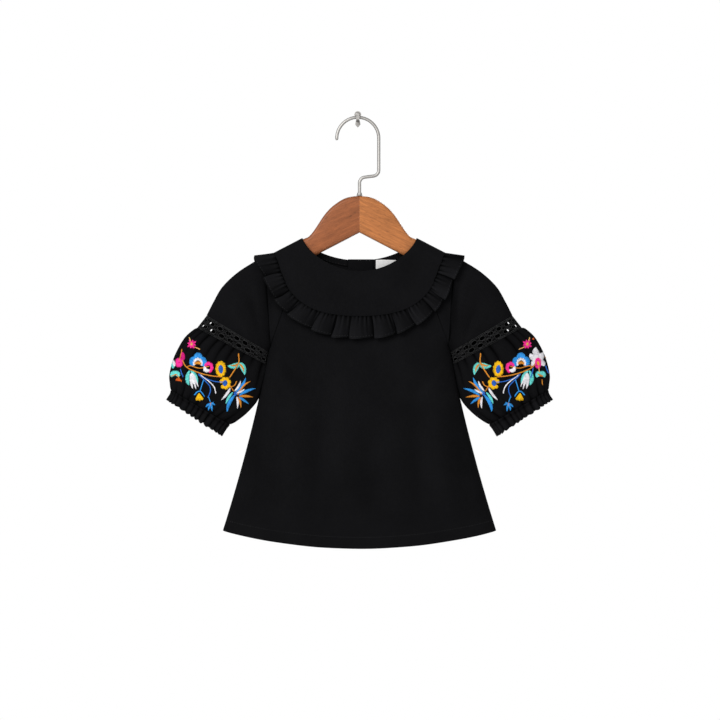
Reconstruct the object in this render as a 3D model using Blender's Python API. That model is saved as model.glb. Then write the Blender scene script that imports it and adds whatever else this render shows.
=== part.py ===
"""A child's ruffle top on a wooden hanger, hung on a small wall hook.

The cloth is a set of thin walls, one for each piece that is cut and sewn on.
X runs across the top, the front faces -Y, Z is up, and the wall is the plane
y = 0. The origin is the screw hole of the wall hook. Tables and sizes are in
millimetres, and `solid` turns them into metres.
"""
import math
from collections import namedtuple

import bmesh
import bpy
from mathutils import Vector

MM = 0.001

# Cloth and seams
CLOTH = 1.2
FRILL_CLOTH = 1.0
LABEL_CLOTH = 0.6
SEAM_GAP = 0.3
LAYER = CLOTH + SEAM_GAP

# Where the top hangs
GARMENT_X = 2.05
HANG_Y = -22.0

# Outline of the top, x from its centre line
NECK_HALF_WIDTH = 66.7
NECK_POINT_Z = -146.6
FRONT_NECK_DEPTH = 38.5
BACK_NECK_DEPTH = 25.6
NECK_ROUNDNESS = 0.74
SHOULDER_SLOPE = 0.516
SHOULDER_COS = 1 / math.hypot(1, SHOULDER_SLOPE)
ARMPIT = (104.1, -271.7)
HEM_CORNER = (159.7, -489.3)
HEM_DROP = 20.5
SIDE_BOW = 3.3
ARMPIT_EASE = 0.9
TIP_EASE = 0.7

# How far the cloth stands off its middle plane
SHOULDER_ROUND = 10.0
SIDE_ROUND = 24.0
BODY_FOLD_HEIGHT = 1.5
BODY_FOLD_PITCH = 62.0

Point = namedtuple("Point", "x z")
Depth = namedtuple("Depth", "z half_depth")
SleeveRing = namedtuple("SleeveRing", "out_x out_z in_x in_z front back round gather")
PleatPoint = namedtuple("PleatPoint", "phase height")
ArmSection = namedtuple("ArmSection", "x top low")

BODY_DEPTHS = [
    Depth(-140, 9.3), Depth(-172, 9.6), Depth(-205, 11.0), Depth(-272, 13.0),
    Depth(-375, 14.5), Depth(-515, 16.0),
]

# Seam between yoke and ruffle, from the shoulder to the centre
YOKE_SEAM = [
    Point(101.2, -164.4), Point(96.7, -173.1), Point(90.4, -190.9),
    Point(80.6, -209.7), Point(63.6, -225.0), Point(42.0, -233.9),
    Point(18.0, -237.6), Point(0.0, -238.3),
]
# Free edge of the ruffle, from the shoulder to the centre
RUFFLE_EDGE = [
    Point(123.0, -165.8), Point(121.9, -173.4), Point(111.5, -192.0),
    Point(99.4, -217.3), Point(85.0, -234.3), Point(63.0, -249.5),
    Point(38.0, -260.0), Point(15.0, -262.8), Point(0.0, -263.5),
]
ARMHOLE = [
    Point(105.0, -166.4), Point(108.2, -186.0), Point(108.4, -203.0),
    Point(106.6, -237.0), Point(*ARMPIT),
]

# Ruffle pleats: where the folds reach the free edge, along it from the centre
RUFFLE_FOLDS = [-170, -140, -112, -89, -56, -31, -10, 19, 46, 71, 97, 115, 141, 170]
PLEAT_PROFILE = [
    PleatPoint(0.0, 1.0), PleatPoint(0.16, 0.97), PleatPoint(0.45, 0.72),
    PleatPoint(0.8, 0.36), PleatPoint(1.03, 0.0),
]
RUFFLE_ROOT_LIFT = 1.6
RUFFLE_EDGE_LIFT = 2.4
RUFFLE_BACK_FLATTENING = 0.55
PLEAT_ROOT_HEIGHT = 0.4
PLEAT_EDGE_HEIGHT = 4.0
PLEAT_FADE = 9.0

# Sleeve rings, from the shoulder to the wrist, each from its outer to its inner end.
# A smaller `round` gives a squarer section, and `gather` is the height of its gathers.
UPPER_RINGS = [
    SleeveRing(118.0, -171.5, 106.4, -272.4, 12.0, 11.0, 0.5, 0.0),
    SleeveRing(141.6, -186.3, 107.2, -274.0, 13.5, 12.0, 0.5, 0.0),
    SleeveRing(160.0, -203.5, 107.8, -276.0, 14.5, 12.5, 0.6, 0.0),
    SleeveRing(170.5, -221.0, 108.4, -278.4, 14.5, 12.0, 0.7, 0.0),
    SleeveRing(178.8, -237.3, 109.0, -281.0, 14.0, 11.5, 0.8, 0.0),
]
LACE_RINGS = [
    SleeveRing(178.8, -237.3, 109.0, -281.0, 14.0, 11.5, 0.8, 0.0),
    SleeveRing(189.8, -251.4, 111.8, -295.0, 13.0, 11.0, 0.8, 0.0),
]
PUFF_RINGS = [
    SleeveRing(189.8, -251.4, 111.8, -295.0, 14.0, 11.5, 0.8, 1.3),
    SleeveRing(204.2, -263.5, 114.6, -307.0, 19.0, 13.0, 0.8, 1.4),
    SleeveRing(215.9, -284.5, 118.2, -322.0, 22.0, 14.0, 0.8, 0.7),
    SleeveRing(221.7, -305.6, 124.0, -337.5, 22.0, 14.0, 0.8, 0.5),
    SleeveRing(221.5, -317.0, 135.0, -352.0, 18.0, 12.0, 0.8, 0.9),
    SleeveRing(220.3, -324.5, 152.4, -364.4, 12.5, 9.5, 0.8, 1.2),
]
CUFF_RINGS = [
    SleeveRing(220.3, -324.5, 152.4, -364.4, 12.5, 9.5, 0.8, 0.9),
    SleeveRing(221.0, -329.0, 156.5, -369.0, 11.5, 9.0, 0.8, 0.9),
    SleeveRing(223.8, -335.0, 161.8, -375.7, 13.5, 10.5, 0.8, 1.7),
]
UPPER_POINTS = 20
PUFF_POINTS = 48
CUFF_POINTS = 64
CUFF_SCALLOP = 0.8

# Lace
LACE_CLOTH = 1.0
LACE_COLUMNS = 9
LACE_ROWS = 2
LACE_EDGE_BAR = 1.7
LACE_HOLE_WIDTH = 0.6
LACE_HOLE_HEIGHT = 0.68

# Closing of the back and what shows inside the neck
PLACKET_LEFT = -13.6
PLACKET_RIGHT = 16.4
PLACKET_RISE = 1.3
BINDING_WIDTH = 8.0
BINDING_END = 50.0
LABEL_LEFT = 19.2
LABEL_RIGHT = 44.7
LABEL_TOP = -175.0
LABEL_HEIGHT = 15.0
BUTTON_RADIUS = 5.5
BUTTON_THICK = 2.4
BUTTON_X = 5.0
BUTTON_HEIGHTS = (-180.0, -202.0, -224.0)

# Wooden hanger, x from its middle
WOOD_HALF_THICK = 6.0
WOOD_CORNER = 5.0
WOOD_CORNER_STEPS = 3
WOOD_END = 124.0
WOOD_SECTIONS = [
    ArmSection(0.0, -96.8, -139.9), ArmSection(8.0, -97.4, -144.0),
    ArmSection(15.0, -99.0, -147.7), ArmSection(21.6, -102.0, -151.1),
    ArmSection(31.6, -109.0, -156.3), ArmSection(38.6, -116.1, -159.9),
    ArmSection(43.9, -123.1, -162.6), ArmSection(53.0, -137.0, -167.4),
    ArmSection(59.5, -144.6, -170.7), ArmSection(67.0, -148.0, -173.9),
    ArmSection(90.0, -159.9, -182.6), ArmSection(110.0, -170.2, -189.6),
    ArmSection(120.0, -175.6, -192.0), ArmSection(WOOD_END, -179.2, -189.5),
]

# Hanger hook: a bent wire
WIRE_RADIUS = 1.85
HOOK_RADIUS = 24.6
HOOK_CENTRE_Z = -29.3
HOOK_SHANK_X = 24.6
HOOK_BEND = 7.0
HOOK_SHELF_Z = -73.6
FERRULE_BOTTOM_RADIUS = 3.6
FERRULE_TOP_RADIUS = 2.7
FERRULE_HEIGHT = 3.4

# Wall hook
PLATE_THICK = 1.6
EYE_RADIUS = 4.1
EYE_HOLE_RADIUS = 1.7
PLATE_WAIST = 1.9
PLATE_WAIST_Z = -5.6
PLATE_BARB = 3.15
PLATE_BARB_Z = -11.6
PLATE_POINT_Z = -15.2
PRONG_HALF_WIDTH = 1.9
PRONG_THICK = 1.6
PRONG_REACH = 27.6
PRONG_TIP_Z = -3.6
SCREW_HEAD_RADIUS = 2.9
SCREW_HEAD_HEIGHT = 1.3

CLOTH_COLOUR = (0.012, 0.012, 0.014)
LABEL_COLOUR = (0.78, 0.78, 0.76)
BUTTON_COLOUR = (0.02, 0.02, 0.022)
WOOD_LEFT_COLOUR = (0.36, 0.13, 0.055)
WOOD_RIGHT_COLOUR = (0.52, 0.21, 0.08)
STEEL_COLOUR = (0.62, 0.60, 0.57)


def material(name, colour, roughness, metallic=0.0):
    """A Principled material of one colour."""
    made = bpy.data.materials.new(name)
    made.use_nodes = True
    shader = made.node_tree.nodes["Principled BSDF"]
    shader.inputs["Base Color"].default_value = (*colour, 1.0)
    shader.inputs["Roughness"].default_value = roughness
    shader.inputs["Metallic"].default_value = metallic
    return made


def finish(name, mesh, look, x=GARMENT_X, sharp=40):
    """Put a mesh into the scene as one named object."""
    mesh.materials.append(look)
    mesh.shade_smooth()
    mesh.set_sharp_from_angle(angle=math.radians(sharp))
    made = bpy.data.objects.new(name, mesh)
    made.location = (x * MM, 0, 0)
    bpy.context.scene.collection.objects.link(made)
    return made


def solid(name, corners, faces, look, x=GARMENT_X, sharp=40):
    """A closed body from corners in millimetres, with its faces turned outwards."""
    mesh = bpy.data.meshes.new(name)
    mesh.from_pydata([Vector(corner) * MM for corner in corners], [], faces)
    work = bmesh.new()
    work.from_mesh(mesh)
    bmesh.ops.recalc_face_normals(work, faces=work.faces)
    work.to_mesh(mesh)
    work.free()
    return finish(name, mesh, look, x, sharp)


class Sheet:
    """The middle surface of a piece of cloth, which `wall` turns into a solid."""

    def __init__(self):
        self.corners = []
        self.faces = []
        self.square = {}
        self.places = {}

    def corner(self, place, square=None):
        key = tuple(round(value, 3) for value in place)
        if key not in self.places:
            self.places[key] = len(self.corners)
            self.corners.append(Vector(place))
        index = self.places[key]
        if square is not None:
            self.square[index] = Vector(square).normalized()
        return index

    def face(self, indices):
        kept = []
        for index in indices:
            if index not in kept:
                kept.append(index)
        if len(kept) > 2:
            self.faces.append(kept)

    def grid(self, rows, closed=False):
        """Faces between rows of corner indices of equal length."""
        for upper, lower in zip(rows, rows[1:]):
            count = len(upper) if closed else len(upper) - 1
            for place in range(count):
                following = (place + 1) % len(upper)
                self.face([upper[place], upper[following],
                           lower[following], lower[place]])

    def normals(self):
        """A unit normal at each corner, and the stretch that keeps the wall even."""
        sums = [Vector() for _ in self.corners]
        around = [[] for _ in self.corners]
        for face in self.faces:
            first, second, last = (self.corners[face[i]] for i in (0, 1, -1))
            third = self.corners[face[2]]
            normal = (third - first).cross(last - second) if len(face) == 4 \
                else (second - first).cross(last - first)
            for index in face:
                sums[index] += normal
                around[index].append(normal.normalized())
        made = []
        for index, total in enumerate(sums):
            normal = total.normalized()
            if index in self.square:
                axis = self.square[index]
                normal = (normal - axis * normal.dot(axis)).normalized()
            lean = sum(normal.dot(other) for other in around[index])
            lean /= len(around[index])
            made.append(normal / max(lean, 0.6))
        return made

    def wall(self, name, thickness, look, sharp=40):
        """Offset the surface both ways and close its rim."""
        count = len(self.corners)
        offsets = [normal * thickness / 2 for normal in self.normals()]
        outer = [place + off for place, off in zip(self.corners, offsets)]
        inner = [place - off for place, off in zip(self.corners, offsets)]
        faces = [list(face) for face in self.faces]
        faces += [[index + count for index in reversed(face)] for face in self.faces]
        edges = {}
        for face in self.faces:
            for start, end in zip(face, face[1:] + face[:1]):
                edges[(start, end)] = True
        for start, end in edges:
            if (end, start) not in edges:
                faces.append([end, start, start + count, end + count])
        return solid(name, outer + inner, faces, look, sharp=sharp)


def along(points, steps=16):
    """A smooth curve through points, as a function of the length along it."""
    dense = []
    ends = [points[0]] + list(points) + [points[-1]]
    for before, start, end, after in zip(ends, ends[1:], ends[2:], ends[3:]):
        for step in range(steps):
            t = step / steps
            dense.append([
                0.5 * (2 * b + (c - a) * t + (2 * a - 5 * b + 4 * c - d) * t * t
                       + (3 * b - a - 3 * c + d) * t ** 3)
                for a, b, c, d in zip(before, start, end, after)])
    dense.append(list(points[-1]))
    lengths = [0.0]
    for start, end in zip(dense, dense[1:]):
        lengths.append(lengths[-1] + math.dist(start, end))

    def at(length):
        length = min(max(length, 0.0), lengths[-1])
        place = 1
        while lengths[place] < length and place < len(lengths) - 1:
            place += 1
        span = lengths[place] - lengths[place - 1]
        t = (length - lengths[place - 1]) / span
        return Point(*(a + (b - a) * t
                       for a, b in zip(dense[place - 1], dense[place])))
    return at, lengths[-1]


def stations(total, count):
    """Lengths along a line that starts on the rounded shoulder."""
    start = [SHOULDER_ROUND * (1 - math.cos(math.radians(turn)))
             for turn in (0, 30, 60, 90)]
    left = total - SHOULDER_ROUND
    return start + [SHOULDER_ROUND + left * (i + 1) / count for i in range(count)]


def rounding(distance, radius):
    """0 at an edge and 1 from `radius` inwards, as a quarter circle."""
    share = min(max(distance / radius, 0.0), 1.0)
    return math.sqrt(1 - (1 - share) ** 2)


def half_depth(z):
    for upper, lower in zip(BODY_DEPTHS, BODY_DEPTHS[1:]):
        if z >= lower.z:
            t = min(max((upper.z - z) / (upper.z - lower.z), 0), 1)
            return upper.half_depth + (lower.half_depth - upper.half_depth) * t
    return BODY_DEPTHS[-1].half_depth


def shoulder_z(x):
    return NECK_POINT_Z - (abs(x) - NECK_HALF_WIDTH) * SHOULDER_SLOPE


def side_x(z):
    """Half width of the body at a height below the armpit."""
    share = (ARMPIT[1] - z) / (ARMPIT[1] - HEM_CORNER[1])
    straight = ARMPIT[0] + (HEM_CORNER[0] - ARMPIT[0]) * share
    return straight - SIDE_BOW * 4 * share * (1 - share)


def hem_z(x):
    return HEM_CORNER[1] - HEM_DROP * (1 - (x / HEM_CORNER[0]) ** 2)


def edge_share(x, z):
    """How fully the cloth has rounded away from its nearest folded edge."""
    below = (shoulder_z(x) - z) * SHOULDER_COS
    if z < ARMPIT[1]:
        inside = side_x(z) - abs(x)
    else:
        inside = math.hypot(max(ARMPIT[0] - abs(x), 0), z - ARMPIT[1])
    return min(rounding(below, SHOULDER_ROUND), rounding(inside, SIDE_ROUND))


def body_fold(x, z):
    """Soft upright folds that grow towards the hem."""
    share = min(max((-300 - z) / 180, 0), 1)
    wave = math.sin(2 * math.pi * x / BODY_FOLD_PITCH + 0.6)
    return BODY_FOLD_HEIGHT * share * wave


def cloth_depth(x, z):
    share = edge_share(x, z)
    return half_depth(z) * share + body_fold(x, z) * share ** 2


def cloth_point(point, face, lift=0.0):
    """A point of the body's cloth: face is -1 for the front and 1 for the back."""
    depth = SEAM_GAP / 2 + cloth_depth(*point) + lift
    return (point.x, HANG_Y + face * depth, point.z)


def mirrored(points):
    """The points of both halves, from left to right, from those of the right half.

    The points run from the outside to the centre, and the last is at x = 0.
    """
    left = [Point(-x, z) for x, z in points]
    return left + list(reversed(points[:-1]))


def nudged(points, centre, amount):
    """Points moved away from a centre, to leave the gap of a seam."""
    made = []
    for x, z in points:
        reach = math.hypot(x - centre.x, z - centre.z)
        made.append(Point(x + (x - centre.x) * amount / reach,
                          z + (z - centre.z) * amount / reach))
    return made


YOKE_CENTRE = Point(0.0, -160.0)
SIDE_PANEL_CENTRE = Point(125.0, -215.0)
SEAM_SEGMENTS = 10
JUNCTION = 6
YOKE_ROWS = 3
BODY_ROWS = 8
SECOND_SEAM_STOPS = (0.0, 3.5, 13.0, 28.0)
HEM_STOPS = (0.0, 3.2, 12.0, 24.0, 40.0)

seam_at, seam_length = along(YOKE_SEAM)
ruffle_at, ruffle_length = along(RUFFLE_EDGE)
armhole_at, armhole_length = along(ARMHOLE)
SEAM_POINTS = [seam_at(length) for length in stations(seam_length, SEAM_SEGMENTS)]


def neck_z(x, depth):
    share = 1 - (x / NECK_HALF_WIDTH) ** 2
    return NECK_POINT_Z - depth * share ** NECK_ROUNDNESS


def neck_points(depth):
    """Neckline of the right half, from the shoulder to the centre."""
    dense = [Point(NECK_HALF_WIDTH * math.cos(turn * math.pi / 80),
                   neck_z(NECK_HALF_WIDTH * math.cos(turn * math.pi / 80), depth))
             for turn in range(41)]
    at, length = along(dense, 2)
    made = [at(stop) for stop in stations(length, SEAM_SEGMENTS)]
    made[-1] = Point(0.0, NECK_POINT_Z - depth)
    return made


def second_seam():
    """Seam from the armpit up to the yoke seam, right half."""
    start = Point(*ARMPIT)
    end = SEAM_POINTS[JUNCTION]
    reach = math.dist(start, end)
    return [Point(start.x + (end.x - start.x) * stop / reach,
                  start.z + (end.z - start.z) * stop / reach)
            for stop in SECOND_SEAM_STOPS]


def blend(start, end, share):
    return Point(start.x + (end.x - start.x) * share,
                 start.z + (end.z - start.z) * share)


def cloth_rows(sheet, rows, face):
    """Corner indices for rows of flat points, squared to Y on folded edges."""
    made = []
    for row in rows:
        indices = []
        for point in row:
            place = cloth_point(point, face)
            folded = abs(place[1] - HANG_Y) < SEAM_GAP / 2 + 0.01
            indices.append(sheet.corner(place, (0, 1, 0) if folded else None))
        made.append(indices)
    return made


def yoke_rows(neck_depth, seam_shift):
    """Rows of one half of the yoke, from neckline to seam, shoulder to centre."""
    top = neck_points(neck_depth)
    bottom = nudged(SEAM_POINTS, YOKE_CENTRE, seam_shift)
    bottom[0] = Point(bottom[0].x, shoulder_z(bottom[0].x))
    return [[blend(a, b, row / YOKE_ROWS) for a, b in zip(top, bottom)]
            for row in range(YOKE_ROWS + 1)]


def front_yoke(look):
    sheet = Sheet()
    rows = [mirrored(row) for row in yoke_rows(FRONT_NECK_DEPTH, -SEAM_GAP / 2)]
    sheet.grid(cloth_rows(sheet, rows, -1))
    return sheet.wall("front_yoke", CLOTH, look)


def back_yoke(side, name, look):
    """One half of the back yoke: the back closes down the middle."""
    sheet = Sheet()
    rows = yoke_rows(BACK_NECK_DEPTH, -SEAM_GAP / 2)
    rows = [[Point(side * max(x, SEAM_GAP / 2), z) for x, z in row] for row in rows]
    sheet.grid(cloth_rows(sheet, rows, 1))
    return sheet.wall(name, CLOTH, look)


def body_patch(seam_shift):
    """Flat points of the body below the yoke, row by row, for the whole width."""
    lower = nudged(second_seam(), SIDE_PANEL_CENTRE, seam_shift * 2)
    lower[0] = Point(*ARMPIT)
    top = lower + nudged(SEAM_POINTS[JUNCTION:], YOKE_CENTRE, seam_shift)
    junction = len(lower)
    top[junction] = nudged([top[junction]], SIDE_PANEL_CENTRE, seam_shift)[0]
    top[-1] = Point(0.0, top[-1].z)
    inner = HEM_CORNER[0] - HEM_STOPS[-1]
    rest = len(top) - len(HEM_STOPS)
    widths = [HEM_CORNER[0] - stop for stop in HEM_STOPS]
    widths += [inner * (1 - (i + 1) / rest) for i in range(rest)]
    bottom = [Point(x, hem_z(x)) for x in widths]
    rows = []
    for row in range(BODY_ROWS + 1):
        share = row / BODY_ROWS
        points = [blend(a, b, share) for a, b in zip(top, bottom)]
        bow = SIDE_BOW * 4 * share * (1 - share)
        points = [Point(x - bow * (x / points[0].x) ** 2, z) for x, z in points]
        points[0] = Point(side_x(points[0].z), points[0].z)
        rows.append(mirrored(points))
    return rows


def side_patch(seam_shift, to_armpit):
    """Flat points between yoke seam, second seam and armhole, right half."""
    upper = nudged(SEAM_POINTS[:JUNCTION], YOKE_CENTRE, seam_shift)
    upper[0] = Point(upper[0].x, shoulder_z(upper[0].x))
    lower = nudged([SEAM_POINTS[JUNCTION]], YOKE_CENTRE, seam_shift)
    lower = nudged(lower, SIDE_PANEL_CENTRE, -seam_shift)
    lower += nudged(list(reversed(second_seam()[1:])), SIDE_PANEL_CENTRE,
                    -seam_shift * 2)
    inner = upper + lower
    lengths = stations(seam_length, SEAM_SEGMENTS)[:JUNCTION]
    reach = math.dist(SEAM_POINTS[JUNCTION], ARMPIT)
    whole = stations(seam_length, SEAM_SEGMENTS)[JUNCTION] + reach
    stops = [reach] + list(reversed(SECOND_SEAM_STOPS[1:]))
    lengths += [whole - stop for stop in stops]
    scale = (armhole_length - SHOULDER_ROUND) / (whole - SHOULDER_ROUND)
    outer = [armhole_at(length if length <= SHOULDER_ROUND
                        else SHOULDER_ROUND + (length - SHOULDER_ROUND) * scale)
             for length in lengths]
    outer[0] = Point(outer[0].x, shoulder_z(outer[0].x))
    rows = [[blend(a, b, share) for share in (0, 0.5, 1)]
            for a, b in zip(inner, outer)]
    if to_armpit:
        rows.append([Point(*ARMPIT)] * 3)
    return rows


def square_to_second_seam(sheet, indices, side):
    """Make the wall's rim upright and across the seam, on both of its sides."""
    top = SEAM_POINTS[JUNCTION]
    across = Vector((side * (top.z - ARMPIT[1]), 0, ARMPIT[0] - top.x))
    for index in indices:
        sheet.square[index] = across.normalized()


def front_body(look):
    sheet = Sheet()
    rows = cloth_rows(sheet, body_patch(SEAM_GAP / 2), -1)
    stops = len(SECOND_SEAM_STOPS)
    square_to_second_seam(sheet, rows[0][1:stops], -1)
    square_to_second_seam(sheet, rows[0][-stops:-1], 1)
    sheet.grid(rows)
    return sheet.wall("front_body", CLOTH, look)


def back_body(look):
    """Back below the yoke, cut in one with the parts beside it up to the armholes."""
    sheet = Sheet()
    body = body_patch(0.0)
    side = side_patch(0.0, True)
    shift = nudged(SEAM_POINTS, YOKE_CENTRE, SEAM_GAP / 2)
    for index, (old, new) in enumerate(zip(SEAM_POINTS, shift)):
        if index <= JUNCTION:
            side[index][0] = Point(new.x, shoulder_z(new.x)) if index == 0 else new
            side[index][1] = blend(side[index][0], side[index][2], 0.5)
        if index >= JUNCTION:
            place = index - JUNCTION + len(SECOND_SEAM_STOPS)
            body[0][place] = Point(-new.x, new.z)
            body[0][-1 - place] = new
    sheet.grid(cloth_rows(sheet, body, 1))
    sheet.grid(cloth_rows(sheet, side, 1))
    left = [[Point(-x, z) for x, z in reversed(row)] for row in side]
    sheet.grid(cloth_rows(sheet, left, 1))
    return sheet.wall("back_body", CLOTH, look)


def side_front(side, name, look):
    sheet = Sheet()
    rows = [[Point(side * x, z) for x, z in row]
            for row in side_patch(SEAM_GAP / 2, False)]
    indices = cloth_rows(sheet, rows, -1)
    square_to_second_seam(sheet, [row[0] for row in indices[JUNCTION + 1:]], side)
    sheet.grid(indices)
    return sheet.wall(name, CLOTH, look)


def ruffle(face, name, look):
    """One half of the gathered frill: its pleats overlap towards one side."""
    columns = []
    for start, end in zip(RUFFLE_FOLDS, RUFFLE_FOLDS[1:]):
        columns += [(start + (end - start) * point.phase, point.height)
                    for point in PLEAT_PROFILE]
    columns[-1] = (RUFFLE_FOLDS[-1], 0.0)
    flat = 1 if face < 0 else RUFFLE_BACK_FLATTENING
    sheet = Sheet()
    rows = []
    for share in (0.0, 0.35, 0.7, 1.0):
        row = []
        for place, height in columns:
            place = max(min(place, ruffle_length), -ruffle_length)
            side = -1 if place < 0 else 1
            reach = (ruffle_length - abs(place)) / ruffle_length
            root = seam_at(seam_length * reach)
            below = min(max((shoulder_z(root.x) - root.z) * SHOULDER_COS, 0)
                        / SHOULDER_ROUND, 1)
            root = Point(root.x, root.z + RUFFLE_ROOT_LIFT * (1 - below))
            spot = blend(root, ruffle_at(ruffle_length - abs(place)), share)
            top = blend(Point(YOKE_SEAM[0].x, YOKE_SEAM[0].z + RUFFLE_ROOT_LIFT),
                        RUFFLE_EDGE[0], share)
            round_off = rounding(top.z - spot.z, SHOULDER_ROUND)
            fade = min((ruffle_length - abs(place)) / PLEAT_FADE, 1)
            rise = PLEAT_ROOT_HEIGHT + (PLEAT_EDGE_HEIGHT - PLEAT_ROOT_HEIGHT) * share
            lift = RUFFLE_ROOT_LIFT + RUFFLE_EDGE_LIFT * share * flat
            depth = (half_depth(spot.z) + lift) * round_off
            depth += rise * height * fade * flat
            folded = abs(place) > ruffle_length - 0.01
            depth = 0 if folded else depth
            corner = (side * spot.x, HANG_Y + face * (SEAM_GAP / 2 + depth), spot.z)
            row.append(sheet.corner(corner, (0, 1, 0) if folded else None))
        rows.append(row)
    sheet.grid(rows)
    return sheet.wall(name, FRILL_CLOTH, look)


def sleeve_axis(rings):
    """Direction from the middle of the first ring to that of the last."""
    first, last = rings[0], rings[-1]
    return Vector((last.out_x + last.in_x - first.out_x - first.in_x, 0,
                   last.out_z + last.in_z - first.out_z - first.in_z)).normalized()


def ring_point(ring, turn, wave=0.0):
    """A point of a flat oval ring: turn 0 is its outer end, and pi its inner end."""
    share = (1 - math.cos(turn)) / 2
    outward = Vector((ring.out_x - ring.in_x, 0, ring.out_z - ring.in_z)).normalized()
    place = Vector((ring.out_x + (ring.in_x - ring.out_x) * share, HANG_Y,
                    ring.out_z + (ring.in_z - ring.out_z) * share))
    swell = math.copysign(abs(math.sin(turn)) ** ring.round, math.sin(turn))
    side = ring.front if swell > 0 else ring.back
    place.y -= side * swell
    facing = outward * math.cos(turn) + Vector((0, -math.sin(turn), 0))
    return place + facing * wave * ring.gather


def moved(ring, shift):
    return ring._replace(out_x=ring.out_x + shift.x, out_z=ring.out_z + shift.z,
                         in_x=ring.in_x + shift.x, in_z=ring.in_z + shift.z)


def mirror_x(place, side):
    return (place[0] * side, place[1], place[2])


def sleeve_tube(sheet, rings, count, side, axis):
    """Rows of a tube of sleeve rings, with gathers on every other point."""
    square = mirror_x(axis, side)
    rows = []
    for number, ring in enumerate(rings):
        at_rim = number in (0, len(rings) - 1)
        row = []
        for index in range(count):
            wave = 1 if index % 2 == 0 else -1
            place = ring_point(ring, 2 * math.pi * index / count, wave)
            row.append(sheet.corner(mirror_x(place, side), square if at_rim else None))
        rows.append(row)
    return rows


def upper_sleeve(side, name, look):
    """Plain cloth from the armhole seam down to the lace."""
    sheet = Sheet()
    axis = sleeve_axis(LACE_RINGS)
    rows = sleeve_tube(sheet, UPPER_RINGS, UPPER_POINTS, side, axis)
    for index in rows[0]:
        sheet.square.pop(index)
    ring = []
    for index in range(UPPER_POINTS):
        turn = 2 * math.pi * index / UPPER_POINTS
        share = (1 - math.cos(turn)) / 2
        point = armhole_at(armhole_length * share)
        gap = SEAM_GAP + share ** 6 * ARMPIT_EASE + (1 - share) ** 12 * TIP_EASE
        depth = cloth_depth(*point)
        if 0 < index < UPPER_POINTS and index != UPPER_POINTS // 2:
            depth = max(depth, 1.5)
        face = -1 if math.sin(turn) > 0 else 1
        place = (side * (point.x + gap), HANG_Y + face * depth, point.z)
        ring.append(sheet.corner(place, (1, 0, 0)))
    sheet.grid([ring] + rows, closed=True)
    return sheet.wall(name, CLOTH, look)


def puff(side, name, look):
    """Gathered lower sleeve from the lace to the cuff."""
    sheet = Sheet()
    axis = sleeve_axis(PUFF_RINGS)
    rings = [moved(PUFF_RINGS[0], sleeve_axis(LACE_RINGS) * SEAM_GAP)]
    rings += PUFF_RINGS[1:]
    sheet.grid(sleeve_tube(sheet, rings, PUFF_POINTS, side, axis), closed=True)
    return sheet.wall(name, CLOTH, look, 60)


def cuff(side, name, look):
    """Elastic cuff with a frilled, scalloped end."""
    sheet = Sheet()
    axis = sleeve_axis(PUFF_RINGS)
    rings = [moved(ring, axis * SEAM_GAP) for ring in CUFF_RINGS]
    rows = sleeve_tube(sheet, rings, CUFF_POINTS, side, axis)
    for index in rows[-1][::2]:
        sheet.corners[index] += Vector(mirror_x(axis, side)) * CUFF_SCALLOP
    sheet.grid(rows, closed=True)
    return sheet.wall(name, FRILL_CLOTH, look, 60)


def lace_surface(rings):
    """A function that gives a place on the band from shares round and down it."""
    steps = 180
    turns = [math.pi * step / steps for step in range(steps + 1)]
    ring = rings[0]
    spots = [ring_point(ring, turn) for turn in turns]
    lengths = [0.0]
    for start, end in zip(spots, spots[1:]):
        lengths.append(lengths[-1] + (end - start).length)

    def at(share, down, face):
        wanted = share * lengths[-1]
        place = 1
        while lengths[place] < wanted - 1e-9:
            place += 1
        rest = (wanted - lengths[place - 1]) / (lengths[place] - lengths[place - 1])
        turn = (turns[place - 1] + (turns[place] - turns[place - 1]) * rest) * -face
        upper = ring_point(rings[0], turn)
        lower = ring_point(rings[-1], turn)
        spot = upper + (lower - upper) * down
        if min(share, 1 - share) < 1e-6:
            spot.y = HANG_Y + face * SEAM_GAP / 2
        return spot
    return at


def lace(side, face, name, look):
    """Half of the lace band, front or back, with its larger holes cut through."""
    axis = sleeve_axis(LACE_RINGS)
    rings = [moved(LACE_RINGS[0], axis * SEAM_GAP), LACE_RINGS[-1]]
    at = lace_surface(rings)
    sheet = Sheet()
    width = math.dist((rings[0].out_x, rings[0].out_z),
                      (rings[-1].out_x, rings[-1].out_z))
    bar = LACE_EDGE_BAR / width
    row_height = (1 - 2 * bar) / LACE_ROWS

    def corner(share, down):
        share = min(max(share, 0.0), 1.0)
        place = mirror_x(at(share, down, face), side)
        square = None
        if down in (0, 1):
            square = mirror_x(axis, side)
        if share in (0, 1):
            square = (0, 1, 0)
        return sheet.corner(place, square)

    halves = [step / (2 * LACE_COLUMNS) for step in range(2 * LACE_COLUMNS + 1)]
    for upper, lower in ((0, bar), (1 - bar, 1)):
        sheet.grid([[corner(share, down) for share in halves]
                    for down in (upper, lower)])
    for row in range(LACE_ROWS):
        top = bar + row * row_height
        first = 0 if row % 2 == 0 else 1
        if first:
            for start in (0, len(halves) - 2):
                sheet.grid([[corner(share, down) for share in halves[start:start + 2]]
                            for down in (top, top + row_height)])
        for cell in range(first, 2 * LACE_COLUMNS - 1, 2):
            left, middle, right = halves[cell:cell + 3]
            lace_cell(sheet, corner, left, middle, right, top, row_height)
    return sheet.wall(name, LACE_CLOTH, look)


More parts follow.
